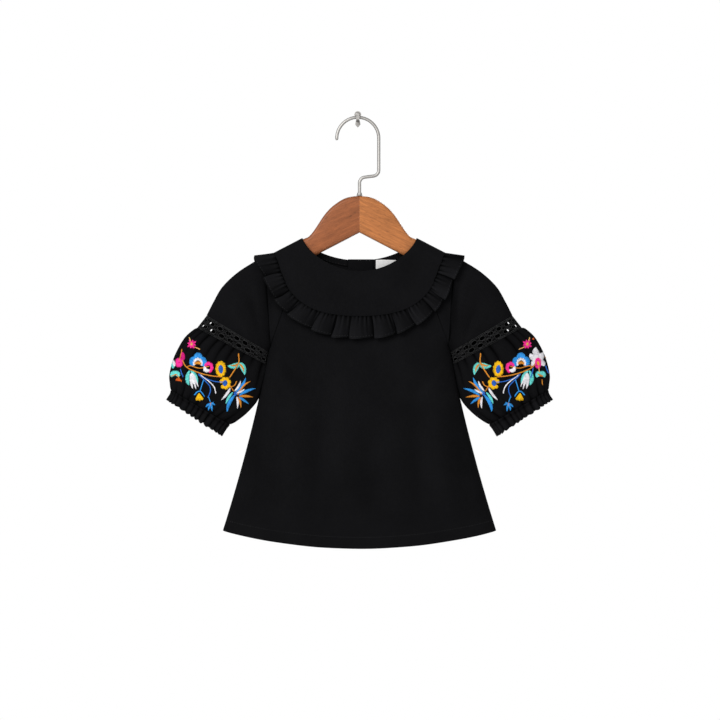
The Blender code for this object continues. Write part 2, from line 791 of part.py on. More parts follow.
def lace_cell(sheet, corner, left, middle, right, top, height):
    """One cell of the lace: six faces round a six-sided hole."""
    low = top + height
    centre = top + height / 2
    wide = (right - left) / 2 * LACE_HOLE_WIDTH
    tall = height / 2 * LACE_HOLE_HEIGHT
    outline = [(left, top), (middle, top), (right, top),
               (right, low), (middle, low), (left, low)]
    hole = [(middle - wide, centre - tall / 2), (middle, centre - tall),
            (middle + wide, centre - tall / 2), (middle + wide, centre + tall / 2),
            (middle, centre + tall), (middle - wide, centre + tall / 2)]
    outer = [corner(*place) for place in outline]
    inner = [corner(*place) for place in hole]
    for index in range(6):
        following = (index + 1) % 6
        sheet.face([outer[index], outer[following], inner[following], inner[index]])


def inner_back_rows(lefts, tops, lowers, lift):
    """Rows on the inside of the back yoke, between two heights at each x."""
    rows = []
    for share in (0.0, 0.5, 1.0):
        row = []
        for x, top, low in zip(lefts, tops, lowers):
            point = Point(x, top + (low - top) * share)
            row.append(cloth_point(point, 1, -lift))
        rows.append(row)
    return rows


def strip(name, xs, tops, lowers, lift, thickness, look):
    sheet = Sheet()
    rows = inner_back_rows(xs, tops, lowers, lift)
    sheet.grid([[sheet.corner(place) for place in row] for row in rows])
    return sheet.wall(name, thickness, look)


def spread(start, end, count):
    return [start + (end - start) * step / count for step in range(count + 1)]


def back_closing(look, label_look, button_look):
    """Button strip, binding and blank label inside the neck, and the buttons."""
    placket = spread(PLACKET_LEFT, PLACKET_RIGHT, 4)
    tops = [neck_z(0.0, BACK_NECK_DEPTH) + PLACKET_RISE for _ in placket]
    foot = SEAM_POINTS[-1].z + CLOTH
    strip("back_placket", placket, tops, [foot for _ in placket], LAYER, CLOTH, look)
    for side, edge, name in ((-1, -PLACKET_LEFT, "left"), (1, PLACKET_RIGHT, "right")):
        xs = [side * x for x in spread(edge + SEAM_GAP, BINDING_END, 8)]
        tops = [neck_z(x, BACK_NECK_DEPTH) - SEAM_GAP for x in xs]
        lows = [top - BINDING_WIDTH for top in tops]
        strip("back_neck_binding_" + name, xs, tops, lows, LAYER, CLOTH, look)
    xs = spread(LABEL_LEFT, LABEL_RIGHT, 3)
    lift = LAYER + CLOTH / 2 + SEAM_GAP + LABEL_CLOTH / 2
    strip("neck_label", xs, [LABEL_TOP for _ in xs],
          [LABEL_TOP - LABEL_HEIGHT for _ in xs], lift, LABEL_CLOTH, label_look)
    for number, z in enumerate(BUTTON_HEIGHTS):
        depth = cloth_depth(BUTTON_X, z) + CLOTH / 2 + SEAM_GAP * 1.5
        lean = (cloth_depth(BUTTON_X, z - 5) - cloth_depth(BUTTON_X, z + 5)) / 10
        profile = [(BUTTON_RADIUS - 0.6, 0.0), (BUTTON_RADIUS, 0.7),
                   (BUTTON_RADIUS, BUTTON_THICK - 0.5),
                   (BUTTON_RADIUS - 0.8, BUTTON_THICK)]
        corners = []
        for radius, out in profile:
            for step in range(12):
                turn = math.pi * step / 6
                rise = radius * math.sin(turn)
                corners.append((BUTTON_X + radius * math.cos(turn),
                                HANG_Y + depth + out - rise * lean, z + rise))
        solid("back_button_%d" % (number + 1), corners,
              ring_faces(len(profile), 12), button_look)


def ring_faces(rings, count, capped=True):
    """Faces of a stack of rings of corners, closed at both ends."""
    faces = []
    for ring in range(rings - 1):
        for step in range(count):
            following = (step + 1) % count
            faces.append([ring * count + step, ring * count + following,
                          (ring + 1) * count + following, (ring + 1) * count + step])
    if capped:
        faces.append(list(range(count)))
        faces.append(list(range((rings - 1) * count, rings * count)))
    return faces


def wood_section(section):
    """Rounded cross-section of the hanger at one x, as corners in Y and Z."""
    height = section.top - section.low
    radius = min(WOOD_CORNER, height / 2 - 0.2)
    corners = []
    for centre_y, centre_z, start in (
            (1, section.top - radius, 0), (-1, section.top - radius, 90),
            (-1, section.low + radius, 180), (1, section.low + radius, 270)):
        for step in range(WOOD_CORNER_STEPS + 1):
            turn = math.radians(start + 90 * step / WOOD_CORNER_STEPS)
            corners.append((centre_y * (WOOD_HALF_THICK - radius)
                            + radius * math.cos(turn),
                            centre_z + radius * math.sin(turn)))
    return corners


def hanger_half(side, name, look):
    """Half of the wooden hanger, from the joint in its middle to its arm's end."""
    corners = []
    for section in WOOD_SECTIONS:
        x = max(section.x, SEAM_GAP / 2)
        corners += [(side * x, HANG_Y + y, z) for y, z in wood_section(section)]
    count = 4 * (WOOD_CORNER_STEPS + 1)
    return solid(name, corners, ring_faces(len(WOOD_SECTIONS), count), look)


def arc(centre_x, centre_z, radius, start, end, steps):
    """Points of an arc in the plane of the hanger, with its angles in degrees."""
    made = []
    for step in range(steps + 1):
        turn = math.radians(start + (end - start) * step / steps)
        made.append(Point(centre_x + radius * math.cos(turn),
                          centre_z + radius * math.sin(turn)))
    return made


def hanger_hook(look):
    """Bent wire: a half circle, a straight shank and a step back to the middle."""
    foot_z = WOOD_SECTIONS[0].top + SEAM_GAP
    upper_bend = HOOK_SHELF_Z + HOOK_BEND
    points = arc(0, HOOK_CENTRE_Z, HOOK_RADIUS, 185, 0, 16)
    points += arc(HOOK_SHANK_X - HOOK_BEND, upper_bend, HOOK_BEND, 0, -80, 4)
    points += arc(GARMENT_X + HOOK_BEND, HOOK_SHELF_Z - 1.2 - HOOK_BEND,
                  HOOK_BEND, 100, 180, 4)
    points.append(Point(GARMENT_X, foot_z))
    curve = bpy.data.curves.new("hanger_hook", "CURVE")
    curve.dimensions = "3D"
    curve.bevel_depth = WIRE_RADIUS * MM
    curve.bevel_resolution = 2
    curve.use_fill_caps = True
    spline = curve.splines.new("POLY")
    spline.points.add(len(points) - 1)
    for spot, point in zip(spline.points, points):
        spot.co = (point.x * MM, HANG_Y * MM, point.z * MM, 1)
    curve.materials.append(look)
    made = bpy.data.objects.new("hanger_hook", curve)
    bpy.context.scene.collection.objects.link(made)
    return made


def hook_ferrule(look):
    """Flared collar where the wire enters the wood."""
    foot = WOOD_SECTIONS[0].top + SEAM_GAP
    hole = WIRE_RADIUS + SEAM_GAP
    profile = [(FERRULE_BOTTOM_RADIUS, foot),
               (FERRULE_TOP_RADIUS, foot + FERRULE_HEIGHT * 0.6),
               (FERRULE_TOP_RADIUS, foot + FERRULE_HEIGHT),
               (hole, foot + FERRULE_HEIGHT), (hole, foot)]
    count = 16
    corners = []
    for radius, z in profile:
        for step in range(count):
            turn = 2 * math.pi * step / count
            corners.append((radius * math.cos(turn),
                            HANG_Y + radius * math.sin(turn), z))
    faces = ring_faces(len(profile), count, capped=False)
    last = (len(profile) - 1) * count
    for step in range(count):
        following = (step + 1) % count
        faces.append([last + step, last + following, following, step])
    return solid("hook_ferrule", corners, faces, look)


def prism(outline, start, end, axis):
    """A bmesh prism of a flat outline, drawn out along X or Y."""
    work = bmesh.new()
    corners = []
    for depth in (start, end):
        for across, z in outline:
            place = (depth, across, z) if axis == "X" else (across, depth, z)
            corners.append(work.verts.new(Vector(place) * MM))
    count = len(outline)
    work.faces.new(corners[:count])
    work.faces.new(corners[count:])
    for index in range(count):
        following = (index + 1) % count
        work.faces.new([corners[index], corners[following],
                        corners[count + following], corners[count + index]])
    bmesh.ops.recalc_face_normals(work, faces=work.faces)
    return work


def helper(name, work):
    """A guide object for a Boolean, left out of the model."""
    mesh = bpy.data.meshes.new(name)
    work.to_mesh(mesh)
    work.free()
    made = bpy.data.objects.new(name, mesh)
    made.hide_render = True
    made.display_type = "WIRE"
    bpy.context.scene.collection.objects.link(made)
    return made


def wall_hook(look):
    """Back plate with an eye and a pointed foot, and a prong that turns up."""
    eye = [(EYE_RADIUS * math.cos(math.radians(turn)),
            EYE_RADIUS * math.sin(math.radians(turn)))
           for turn in range(-50, 231, 28)]
    left = [(-PLATE_WAIST, PLATE_WAIST_Z), (-PLATE_BARB, PLATE_BARB_Z),
            (0, PLATE_POINT_Z)]
    right = [(PLATE_BARB, PLATE_BARB_Z), (PLATE_WAIST, PLATE_WAIST_Z)]
    mesh = bpy.data.meshes.new("wall_hook")
    plate = prism(eye + left + right, 0, -PLATE_THICK, "Y")
    plate.to_mesh(mesh)
    plate.free()
    made = finish("wall_hook", mesh, look, 0, 30)
    wire_low = HOOK_CENTRE_Z + HOOK_RADIUS - WIRE_RADIUS
    top = wire_low - SEAM_GAP
    low = top - PRONG_THICK
    root = -PLATE_THICK / 2
    outline = [(root, top), (-PRONG_REACH + PRONG_THICK, top),
               (-PRONG_REACH + PRONG_THICK, PRONG_TIP_Z),
               (-PRONG_REACH, PRONG_TIP_Z), (-PRONG_REACH, low + 1.0),
               (-PRONG_REACH + 1.0, low), (root, low)]
    prong = helper("prong_guide", prism(outline, -PRONG_HALF_WIDTH,
                                        PRONG_HALF_WIDTH, "X"))
    circle = [(EYE_HOLE_RADIUS * math.cos(math.pi * step / 8),
               EYE_HOLE_RADIUS * math.sin(math.pi * step / 8)) for step in range(16)]
    hole = helper("eye_guide", prism(circle, 1, -PLATE_THICK - 1, "Y"))
    for name, other, operation in (("prong", prong, "UNION"),
                                   ("eye", hole, "DIFFERENCE")):
        change = made.modifiers.new(name, "BOOLEAN")
        change.object = other
        change.operation = operation
        change.solver = "EXACT"
    return made


def wall_screw(look):
    """Screw in the eye of the wall hook, with a low domed head."""
    count = 16
    back = -PLATE_THICK - SEAM_GAP
    profile = [(EYE_HOLE_RADIUS - SEAM_GAP, -0.1), (EYE_HOLE_RADIUS - SEAM_GAP, back),
               (SCREW_HEAD_RADIUS, back), (SCREW_HEAD_RADIUS * 0.9, back - 0.6),
               (SCREW_HEAD_RADIUS * 0.5, back - SCREW_HEAD_HEIGHT)]
    corners = []
    for radius, y in profile:
        for step in range(count):
            turn = 2 * math.pi * step / count
            corners.append((radius * math.cos(turn), y, radius * math.sin(turn)))
    return solid("wall_screw", corners, ring_faces(len(profile), count), look, 0)


def build():
    for old in list(bpy.data.objects):
        bpy.data.objects.remove(old)
    cloth = material("black_cloth", CLOTH_COLOUR, 0.9)
    trim = material("black_lace", CLOTH_COLOUR, 0.85)
    label = material("label_tape", LABEL_COLOUR, 0.8)
    button = material("black_plastic", BUTTON_COLOUR, 0.4)
    steel = material("nickel_steel", STEEL_COLOUR, 0.28, 1.0)
    front_yoke(cloth)
    front_body(cloth)
    back_body(cloth)
    ruffle(-1, "ruffle_front", cloth)
    ruffle(1, "ruffle_back", cloth)
    for side, name in ((-1, "left"), (1, "right")):
        back_yoke(side, "back_yoke_" + name, cloth)
        side_front(side, "side_front_" + name, cloth)
        upper_sleeve(side, "upper_sleeve_" + name, cloth)
        lace(side, -1, "lace_front_" + name, trim)
        lace(side, 1, "lace_back_" + name, trim)
        puff(side, "puff_" + name, cloth)
        cuff(side, "cuff_" + name, cloth)
    back_closing(cloth, label, button)
    hanger_half(-1, "hanger_wood_left", material("wood_left", WOOD_LEFT_COLOUR, 0.5))
    hanger_half(1, "hanger_wood_right", material("wood_right", WOOD_RIGHT_COLOUR, 0.5))
    hanger_hook(steel)
    hook_ferrule(steel)
    wall_hook(steel)
    wall_screw(steel)


build()
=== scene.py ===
"""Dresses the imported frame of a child's ruffle top that hangs from a wall hook.

Shapes are worked out in millimetres from the same sizes as the frame, with x
measured from the middle of the top, and are turned into metres at the end.
X runs across the top, its front faces -Y, and Z is up.
"""

import random
from collections import namedtuple
from math import ceil, copysign, cos, dist, exp, hypot, pi, radians, sin, sqrt

import bmesh
import bpy
import numpy as np
from bpy.props import FloatProperty, FloatVectorProperty, PointerProperty
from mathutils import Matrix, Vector
from mathutils.bvhtree import BVHTree


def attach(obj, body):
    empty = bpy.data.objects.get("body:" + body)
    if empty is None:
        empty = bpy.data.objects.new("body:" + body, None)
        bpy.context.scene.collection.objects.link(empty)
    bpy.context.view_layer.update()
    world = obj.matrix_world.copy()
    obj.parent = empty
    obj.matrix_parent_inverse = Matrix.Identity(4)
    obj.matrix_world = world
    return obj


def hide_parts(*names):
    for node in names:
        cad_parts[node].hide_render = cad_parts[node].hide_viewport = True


bl_info = {
    "name": "Ruffle Top",
    "version": (1, 0, 0),
    "blender": (4, 5, 0),
    "location": "3D View > Sidebar > Ruffle Top",
    "description": "Dresses the frame of a ruffle top with cloth, lace and thread",
    "category": "Object",
}

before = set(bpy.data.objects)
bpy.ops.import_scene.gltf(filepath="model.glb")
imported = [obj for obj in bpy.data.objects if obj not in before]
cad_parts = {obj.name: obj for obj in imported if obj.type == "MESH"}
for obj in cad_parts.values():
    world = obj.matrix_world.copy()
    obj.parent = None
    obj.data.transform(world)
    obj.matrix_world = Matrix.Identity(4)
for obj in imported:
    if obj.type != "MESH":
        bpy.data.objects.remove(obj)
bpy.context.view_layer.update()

MM = 0.001

CLOTH = 1.2
FRILL_CLOTH = 1.0
LACE_CLOTH = 0.7
LABEL_CLOTH = 0.5
SEAM_GAP = 0.03
LAYER = 1.5
GARMENT_X = 2.05
HANG_Y = -22.0

NECK_HALF_WIDTH = 66.7
NECK_POINT_Z = -146.6
FRONT_NECK_DEPTH = 38.5
BACK_NECK_DEPTH = 25.6
NECK_ROUNDNESS = 0.74
SHOULDER_SLOPE = 0.516
SHOULDER_COS = 1 / hypot(1, SHOULDER_SLOPE)
HEM_DROP = 20.5
SIDE_BOW = 3.3
ARMPIT_EASE = 0.1
TIP_EASE = 0.1
SHOULDER_ROUND = 10.0
SIDE_ROUND = 24.0
BODY_FOLD_HEIGHT = 1.5
BODY_FOLD_PITCH = 62.0
BODY_FOLD_TOP = -300
BODY_FOLD_REACH = 180
BODY_FOLD_PHASE = 0.6

SIDES = ((-1, "left"), (1, "right"))
FACES = ((-1, "front"), (1, "back"))

Point = namedtuple("Point", "x z")
Depth = namedtuple("Depth", "z half_depth")
SleeveRing = namedtuple("SleeveRing", "out_x out_z in_x in_z front back round gather tuck")
PleatPoint = namedtuple("PleatPoint", "phase height tuck")
ArmSection = namedtuple("ArmSection", "x top low")
Crease = namedtuple("Crease", "x z end_x end_z width height bend")


def rows_of(kind, rows):
    """A table's rows as named values."""
    return [kind(*row) for row in rows]


ARMPIT = Point(104.1, -271.7)
HEM_CORNER = Point(159.7, -489.3)
YOKE_CENTRE = Point(0.0, -160.0)
SIDE_PANEL_CENTRE = Point(125.0, -215.0)

BODY_DEPTHS = rows_of(Depth, [
    (-140, 9.3), (-172, 9.6), (-205, 11.0), (-272, 13.0), (-375, 14.5), (-515, 16.0)])
YOKE_SEAM = rows_of(Point, [
    (101.2, -164.4), (96.7, -173.1), (90.4, -190.9), (80.6, -209.7), (63.6, -225.0),
    (42.0, -233.9), (18.0, -237.6), (0.0, -238.3)])
RUFFLE_EDGE = rows_of(Point, [
    (123.0, -165.8), (121.9, -173.4), (111.5, -192.0), (99.4, -217.3), (85.0, -234.3),
    (63.0, -249.5), (38.0, -260.0), (15.0, -262.8), (0.0, -263.5)])
ARMHOLE = rows_of(Point, [
    (105.0, -166.4), (108.2, -186.0), (108.4, -203.0), (106.6, -237.0), ARMPIT])

# Ruffle: where its folds reach the free edge, and how high and bent each pleat is
RUFFLE_FOLDS = [-170, -140, -112, -89, -56, -31, -10, 19, 46, 71, 97, 115, 141, 170]
PLEAT_HEIGHTS = [0.9, 1.1, 0.9, 1.05, 0.95, 1.1, 1.0, 1.05, 0.9, 1.1, 0.85, 1.05, 0.9]
PLEAT_SWAYS = [0.6, -1.2, 1.4, 1.0, -0.8, 0.9, -1.0, 0.6, 1.2, -1.3, 0.8, -0.6, 0.5]
PLEAT_PROFILE = rows_of(PleatPoint, [
    (0.0, 0.25, -0.3), (0.0, 0.6, -0.9), (0.0, 0.85, -1.0), (0.0, 0.97, -0.7),
    (0.01, 1.0, -0.2), (0.05, 1.0, 0), (0.12, 0.98, 0), (0.2, 0.93, 0), (0.3, 0.85, 0),
    (0.4, 0.76, 0), (0.5, 0.66, 0), (0.6, 0.56, 0), (0.7, 0.46, 0), (0.8, 0.35, 0),
    (0.88, 0.24, 0), (0.95, 0.12, 0), (1.0, 0.02, 0.2), (1.0, 0.0, 0.5)])
PLEAT_TUCK = 1.6
PLEAT_COLUMN_STEP = 0.85
RUFFLE_ROWS = 18
RUFFLE_ROOT_LIFT = 1.6
RUFFLE_EDGE_LIFT = 2.4
RUFFLE_BACK_FLATTENING = 0.55
PLEAT_ROOT_HEIGHT = 0.4
PLEAT_EDGE_HEIGHT = 4.6
PLEAT_FADE = 9.0
PLEAT_STEP_OUT = 2.6
FRILL_STITCH_SHARE = 0.9
FRILL_THREAD_RADIUS = 0.17
HEM_THREAD_RADIUS = 0.19
HEM_STEPS = 160
HEM_STITCH_LIFT = 0.08
SMALL_STITCH_LIFT = 0.05
FRILL_STITCH_LIFT = 0.6
PUCKER_HEIGHT = 0.7
PUCKER_LENGTH = 9.0
RUFFLE_HEIGHT = 26
RUFFLE_ROOT_SINK = 1.3

# Painted shade and painted highlight of the ruffle's folds, and the painted shadow it throws on the body
PLEAT_DARK = 1.5
PLEAT_LIGHT = 0.75
ROOT_DARK = 0.7
PUCKER_DARK = 0.6
SHADE_LOW = -275
SHADE_HALF_WIDTH = 125
SHADE_DARK = 0.55
SHADE_REACH = 4.5

UPPER_RINGS = rows_of(SleeveRing, [
    (118.0, -171.5, 104.6, -272.4, 12.0, 11.0, 0.5, 0.0, 0.6),
    (141.6, -186.3, 104.6, -274.0, 13.5, 12.0, 0.5, 0.0, 2.0),
    (160.0, -203.5, 104.9, -276.0, 14.5, 12.5, 0.6, 0.0, 3.4),
    (170.5, -221.0, 105.1, -278.4, 14.5, 12.0, 0.7, 0.0, 4.6),
    (178.8, -237.3, 105.4, -281.0, 14.0, 11.5, 0.8, 0.0, 5.6)])
LACE_RINGS = rows_of(SleeveRing, [
    (178.8, -237.3, 105.4, -281.0, 14.0, 11.5, 0.8, 0.0, 5.6),
    (189.8, -251.4, 108.0, -295.0, 13.0, 11.0, 0.8, 0.0, 5.8)])
PUFF_RINGS = rows_of(SleeveRing, [
    (189.8, -251.4, 108.0, -295.0, 14.0, 11.5, 0.8, 1.3, 5.8),
    (204.2, -263.5, 110.8, -307.0, 19.0, 13.0, 0.8, 1.4, 5.8),
    (215.9, -284.5, 114.2, -322.0, 22.0, 14.0, 0.8, 0.7, 5.2),
    (221.7, -305.6, 120.4, -337.5, 22.0, 14.0, 0.8, 0.5, 4.0),
    (221.5, -317.0, 133.6, -352.0, 18.0, 12.0, 0.8, 0.9, 2.0),
    (220.3, -324.5, 152.4, -364.4, 12.5, 9.5, 0.8, 1.2, 0.0)])
CUFF_RINGS = rows_of(SleeveRing, [
    (220.3, -324.5, 152.4, -364.4, 12.5, 9.5, 0.8, 0.9, 0.0),
    (221.0, -329.0, 156.5, -369.0, 11.5, 9.0, 0.8, 0.9, 0.0),
    (223.8, -335.0, 161.8, -375.7, 13.5, 10.5, 0.8, 1.7, 0.0)])
SLEEVE_HEAD_ROWS = 7
UPPER_ROWS = 9
UPPER_COLUMNS = 96
PUFF_ROWS = 12
PUFF_COLUMNS = 224
PUFF_TOP_GATHERS = 22
PUFF_LOW_GATHERS = 22
PUFF_TOP_HEIGHT = 1.7
PUFF_LOW_HEIGHT = 1.6
PUFF_BILLOW = 0.6
CUFF_ROWS = 9
CUFF_COLUMNS = 320
CUFF_GATHERS = 32
CUFF_SCALLOP = 2.3

LACE_COLUMNS = 9
LACE_ROWS = 2
LACE_EDGE_BAR = 1.7
LACE_HOLE_WIDTH = 0.6
LACE_HOLE_HEIGHT = 0.68
LACE_CORD_RADIUS = 0.26
LACE_CORD_LIFT = 0.35

PLACKET_LEFT = -13.6
PLACKET_RIGHT = 16.4
PLACKET_RISE = 1.3
BINDING_WIDTH = 8.0
BINDING_END = 50.0
BINDING_SEAM = 1.6
LABEL_LEFT = 19.2
LABEL_RIGHT = 44.7
LABEL_TOP = -171.6
LABEL_HEIGHT = 16.5
LABEL_SEAM = 1.1
LABEL_SEAM_END = 1.2
BUTTON_X = 5.0
BUTTON_CORNERS = 40
BUTTON_PROFILE = [
    (0.0, -0.1), (4.6, 0.0), (5.1, 0.25), (5.5, 0.8), (5.5, 1.5), (5.3, 2.0),
    (4.9, 2.3), (4.4, 2.4), (3.9, 2.25), (3.5, 1.75), (2.8, 1.6), (0.0, 1.6),
]
BUTTON_THREAD_RADIUS = 0.3
BUTTON_STITCH = 1.1
BUTTON_HEIGHTS = (-180.0, -202.0, -224.0)

WOOD_HALF_THICK = 6.0
WOOD_CORNER = 5.0
WOOD_CORNER_STEPS = 8
WOOD_STEP = 2.2
MITRE_GAP = 0.01
WOOD_SECTIONS = rows_of(ArmSection, [
    (0.0, -96.8, -139.9), (8.0, -97.4, -144.0), (15.0, -99.0, -147.7), (21.6, -102.0, -151.1),
    (31.6, -109.0, -156.3), (38.6, -116.1, -159.9), (43.9, -123.1, -162.6),
    (53.0, -137.0, -167.4), (59.5, -144.6, -170.7), (67.0, -148.0, -173.9),
    (90.0, -159.9, -182.6), (110.0, -170.2, -189.6), (120.0, -175.6, -192.0),
    (124.0, -179.2, -189.5)])
WIRE_RADIUS = 1.85
HOOK_RADIUS = 24.6
HOOK_CENTRE_Z = -29.3
HOOK_SHANK_X = 24.6
HOOK_BEND = 7.0
HOOK_SHELF_Z = -73.6

# The stage, in metres: its floor, where lights aim, and the part that the camera sees
FLOOR_HALF_SIZE = 1.6
FLOOR_Z = -0.9
LIGHT_AIM = (0.0, -0.02, -0.3)
PICTURE_WIDTH = 0.8424
PICTURE_X = 0.0026
PICTURE_Z = -0.2892
PICTURE_DEPTH = 0.03

# Soft troughs and ridges, given one by one; the back has like ones
BODY_CREASES = rows_of(Crease, [
    (-112, -318, -123, -470, 12, -1.7, 3), (-78, -306, -91, -492, 14, 1.3, -2),
    (-46, -335, -56, -498, 11, -1.1, 2), (-20, -300, -27, -500, 13, 0.9, 0),
    (5, -352, 9, -502, 12, -1.0, -2), (31, -316, 39, -498, 14, 1.0, 2),
    (57, -340, 69, -494, 10, -1.2, -1), (82, -296, 104, -488, 13, 1.3, 3),
    (102, -318, 127, -482, 12, -1.6, -3), (-97, -283, -58, -326, 7, -0.9, 3),
    (-100, -292, -74, -350, 7, 0.8, -4), (97, -283, 56, -330, 7, -0.9, -3),
    (100, -292, 72, -348, 7, 0.8, 4), (-30, -262, -34, -316, 6, -0.5, 1),
    (14, -264, 17, -312, 6, -0.5, -1), (48, -258, 52, -305, 6, 0.4, 1)])
YOKE_CREASES = rows_of(Crease, [
    (-62, -160, -44, -214, 9, -0.5, 3), (60, -158, 46, -216, 9, -0.5, -3),
    (-30, -192, 4, -228, 10, 0.4, 2), (84, -166, 70, -206, 7, 0.4, 1),
    (-84, -168, -72, -204, 7, 0.4, -1)])
SIDE_CREASES = rows_of(Crease, [
    (101, -186, 104, -262, 4, -0.7, 1), (94, -206, 101, -264, 4, 0.5, -1)])
SLEEVE_CREASES = rows_of(Crease, [
    (113, -182, 112, -266, 6, -2.2, 2), (125, -190, 115, -270, 7, 1.3, 3),
    (146, -200, 118, -274, 6, -1.3, 5), (163, -220, 122, -277, 6, 0.9, 4),
    (172, -232, 138, -266, 5, -0.7, 2)])


# Cloth shapes

def along(points, steps=16):
    """A smooth curve through points, as a function of the length along it."""
    dense = between(points, steps)
    lengths = [0.0]
    for start, end in zip(dense, dense[1:]):
        lengths.append(lengths[-1] + dist(start, end))

    def at(length):
        length = min(max(length, 0.0), lengths[-1])
        place = 1
        while lengths[place] < length and place < len(lengths) - 1:
            place += 1
        span = max(lengths[place] - lengths[place - 1], 1e-9)
        t = (length - lengths[place - 1]) / span
        return Point(*(a + (b - a) * t for a, b in zip(dense[place - 1], dense[place])))
    return at, lengths[-1]


def passing(before, start, end, after, t):
    """A value between start and end on a smooth line through all four."""
    return 0.5 * (2 * start + (end - before) * t
                  + (2 * before - 5 * start + 4 * end - after) * t * t
                  + (3 * start - before - 3 * end + after) * t ** 3)


def between(items, count):
    """Items on a smooth line through the given ones, with count steps from each to the next.

    count is a number, or a function that gives it for two neighbours.
    """
    ends = [items[0]] + list(items) + [items[-1]]
    made = []
    for four in zip(ends, ends[1:], ends[2:], ends[3:]):
        steps = count(four[1], four[2]) if callable(count) else count
        made += [type(items[0])(*(passing(*values, step / steps) for values in zip(*four)))
                 for step in range(steps)]
    return made + [items[-1]]


def clamp(value, low=0.0, high=1.0):
    """A value kept between two others."""
    return min(max(value, low), high)


def round_stops(radius):
    """Lengths in from a rounded edge, close together where it turns."""
    return [radius * (1 - cos(radians(turn))) for turn in range(0, 91, 9)]


def stations(total, count):
    """Lengths along a line that starts on the rounded shoulder."""
    left = total - SHOULDER_ROUND
    return round_stops(SHOULDER_ROUND) + [SHOULDER_ROUND + left * (i + 1) / count
                                          for i in range(count)]


def rounding(distance, radius):
    """How far a rounded edge has risen at a distance from it, 0 to 1."""
    share = clamp(distance / radius)
    return sqrt(1 - (1 - share) ** 2)


def half_depth(z):
    """Half of the body's thickness at a height."""
    for upper, lower in zip(BODY_DEPTHS, BODY_DEPTHS[1:]):
        if z >= lower.z:
            t = clamp((upper.z - z) / (upper.z - lower.z))
            return upper.half_depth + (lower.half_depth - upper.half_depth) * t
    return BODY_DEPTHS[-1].half_depth


def shoulder_z(x):
    """Height of the shoulder's line."""
    return NECK_POINT_Z - (abs(x) - NECK_HALF_WIDTH) * SHOULDER_SLOPE


def side_x(z):
    """Where the body's side is at a height."""
    share = (ARMPIT.z - z) / (ARMPIT.z - HEM_CORNER.z)
    straight = ARMPIT.x + (HEM_CORNER.x - ARMPIT.x) * share
    return straight - SIDE_BOW * 4 * share * (1 - share)


def hem_z(x):
    """Height of the curved hem."""
    return HEM_CORNER.z - HEM_DROP * (1 - (x / HEM_CORNER.x) ** 2)


def edge_share(x, z):
    """How fully the cloth has rounded away from its nearest folded edge."""
    below = (shoulder_z(x) - z) * SHOULDER_COS
    if z < ARMPIT.z:
        inside = side_x(z) - abs(x)
    else:
        inside = hypot(max(ARMPIT.x - abs(x), 0), z - ARMPIT.z)
    return min(rounding(below, SHOULDER_ROUND), rounding(inside, SIDE_ROUND))


def body_fold(x, z):
    """Height of the body's wide folds, which grow towards the hem."""
    share = clamp((BODY_FOLD_TOP - z) / BODY_FOLD_REACH)
    return BODY_FOLD_HEIGHT * share * sin(2 * pi * x / BODY_FOLD_PITCH + BODY_FOLD_PHASE)


def cloth_depth(x, z):
    """How far the body's cloth stands from its middle plane."""
    share = edge_share(x, z)
    return half_depth(z) * share + body_fold(x, z) * share ** 2


def creased(x, z, creases):
    """Height of listed soft troughs and ridges, steeper on one side."""
    total = 0.0
    for crease in creases:
        run_x, run_z = crease.end_x - crease.x, crease.end_z - crease.z
        reach = hypot(run_x, run_z)
        down = ((x - crease.x) * run_x + (z - crease.z) * run_z) / reach ** 2
        if 0 < down < 1:
            aside = ((x - crease.x) * run_z - (z - crease.z) * run_x) / reach
            aside -= crease.bend * sin(pi * down)
            width = crease.width * (1.3 if aside > 0 else 0.8)
            total += (crease.height * sin(pi * down) ** 0.8 * exp(-(aside / width) ** 2))
    return total


def cloth_point(point, face, lift=0.0, creases=()):
    """A point of the body's cloth: face is -1 for the front and 1 for the back."""
    depth = SEAM_GAP / 2 + cloth_depth(*point) + lift
    if creases:
        depth += creased(point.x, point.z, creases) * edge_share(*point) ** 2
    return (point.x, HANG_Y + face * depth, point.z)


def mirrored(points):
    """Both halves, left to right, from the right half, whose last point is at x = 0."""
    return [Point(-x, z) for x, z in points] + list(reversed(points[:-1]))


def nudged(points, centre, amount):
    """Points moved away from a centre."""
    made = []
    for x, z in points:
        reach = hypot(x - centre.x, z - centre.z)
        made.append(Point(x + (x - centre.x) * amount / reach,
                          z + (z - centre.z) * amount / reach))
    return made


def blend(start, end, share):
    """A point between two others."""
    return Point(start.x + (end.x - start.x) * share, start.z + (end.z - start.z) * share)


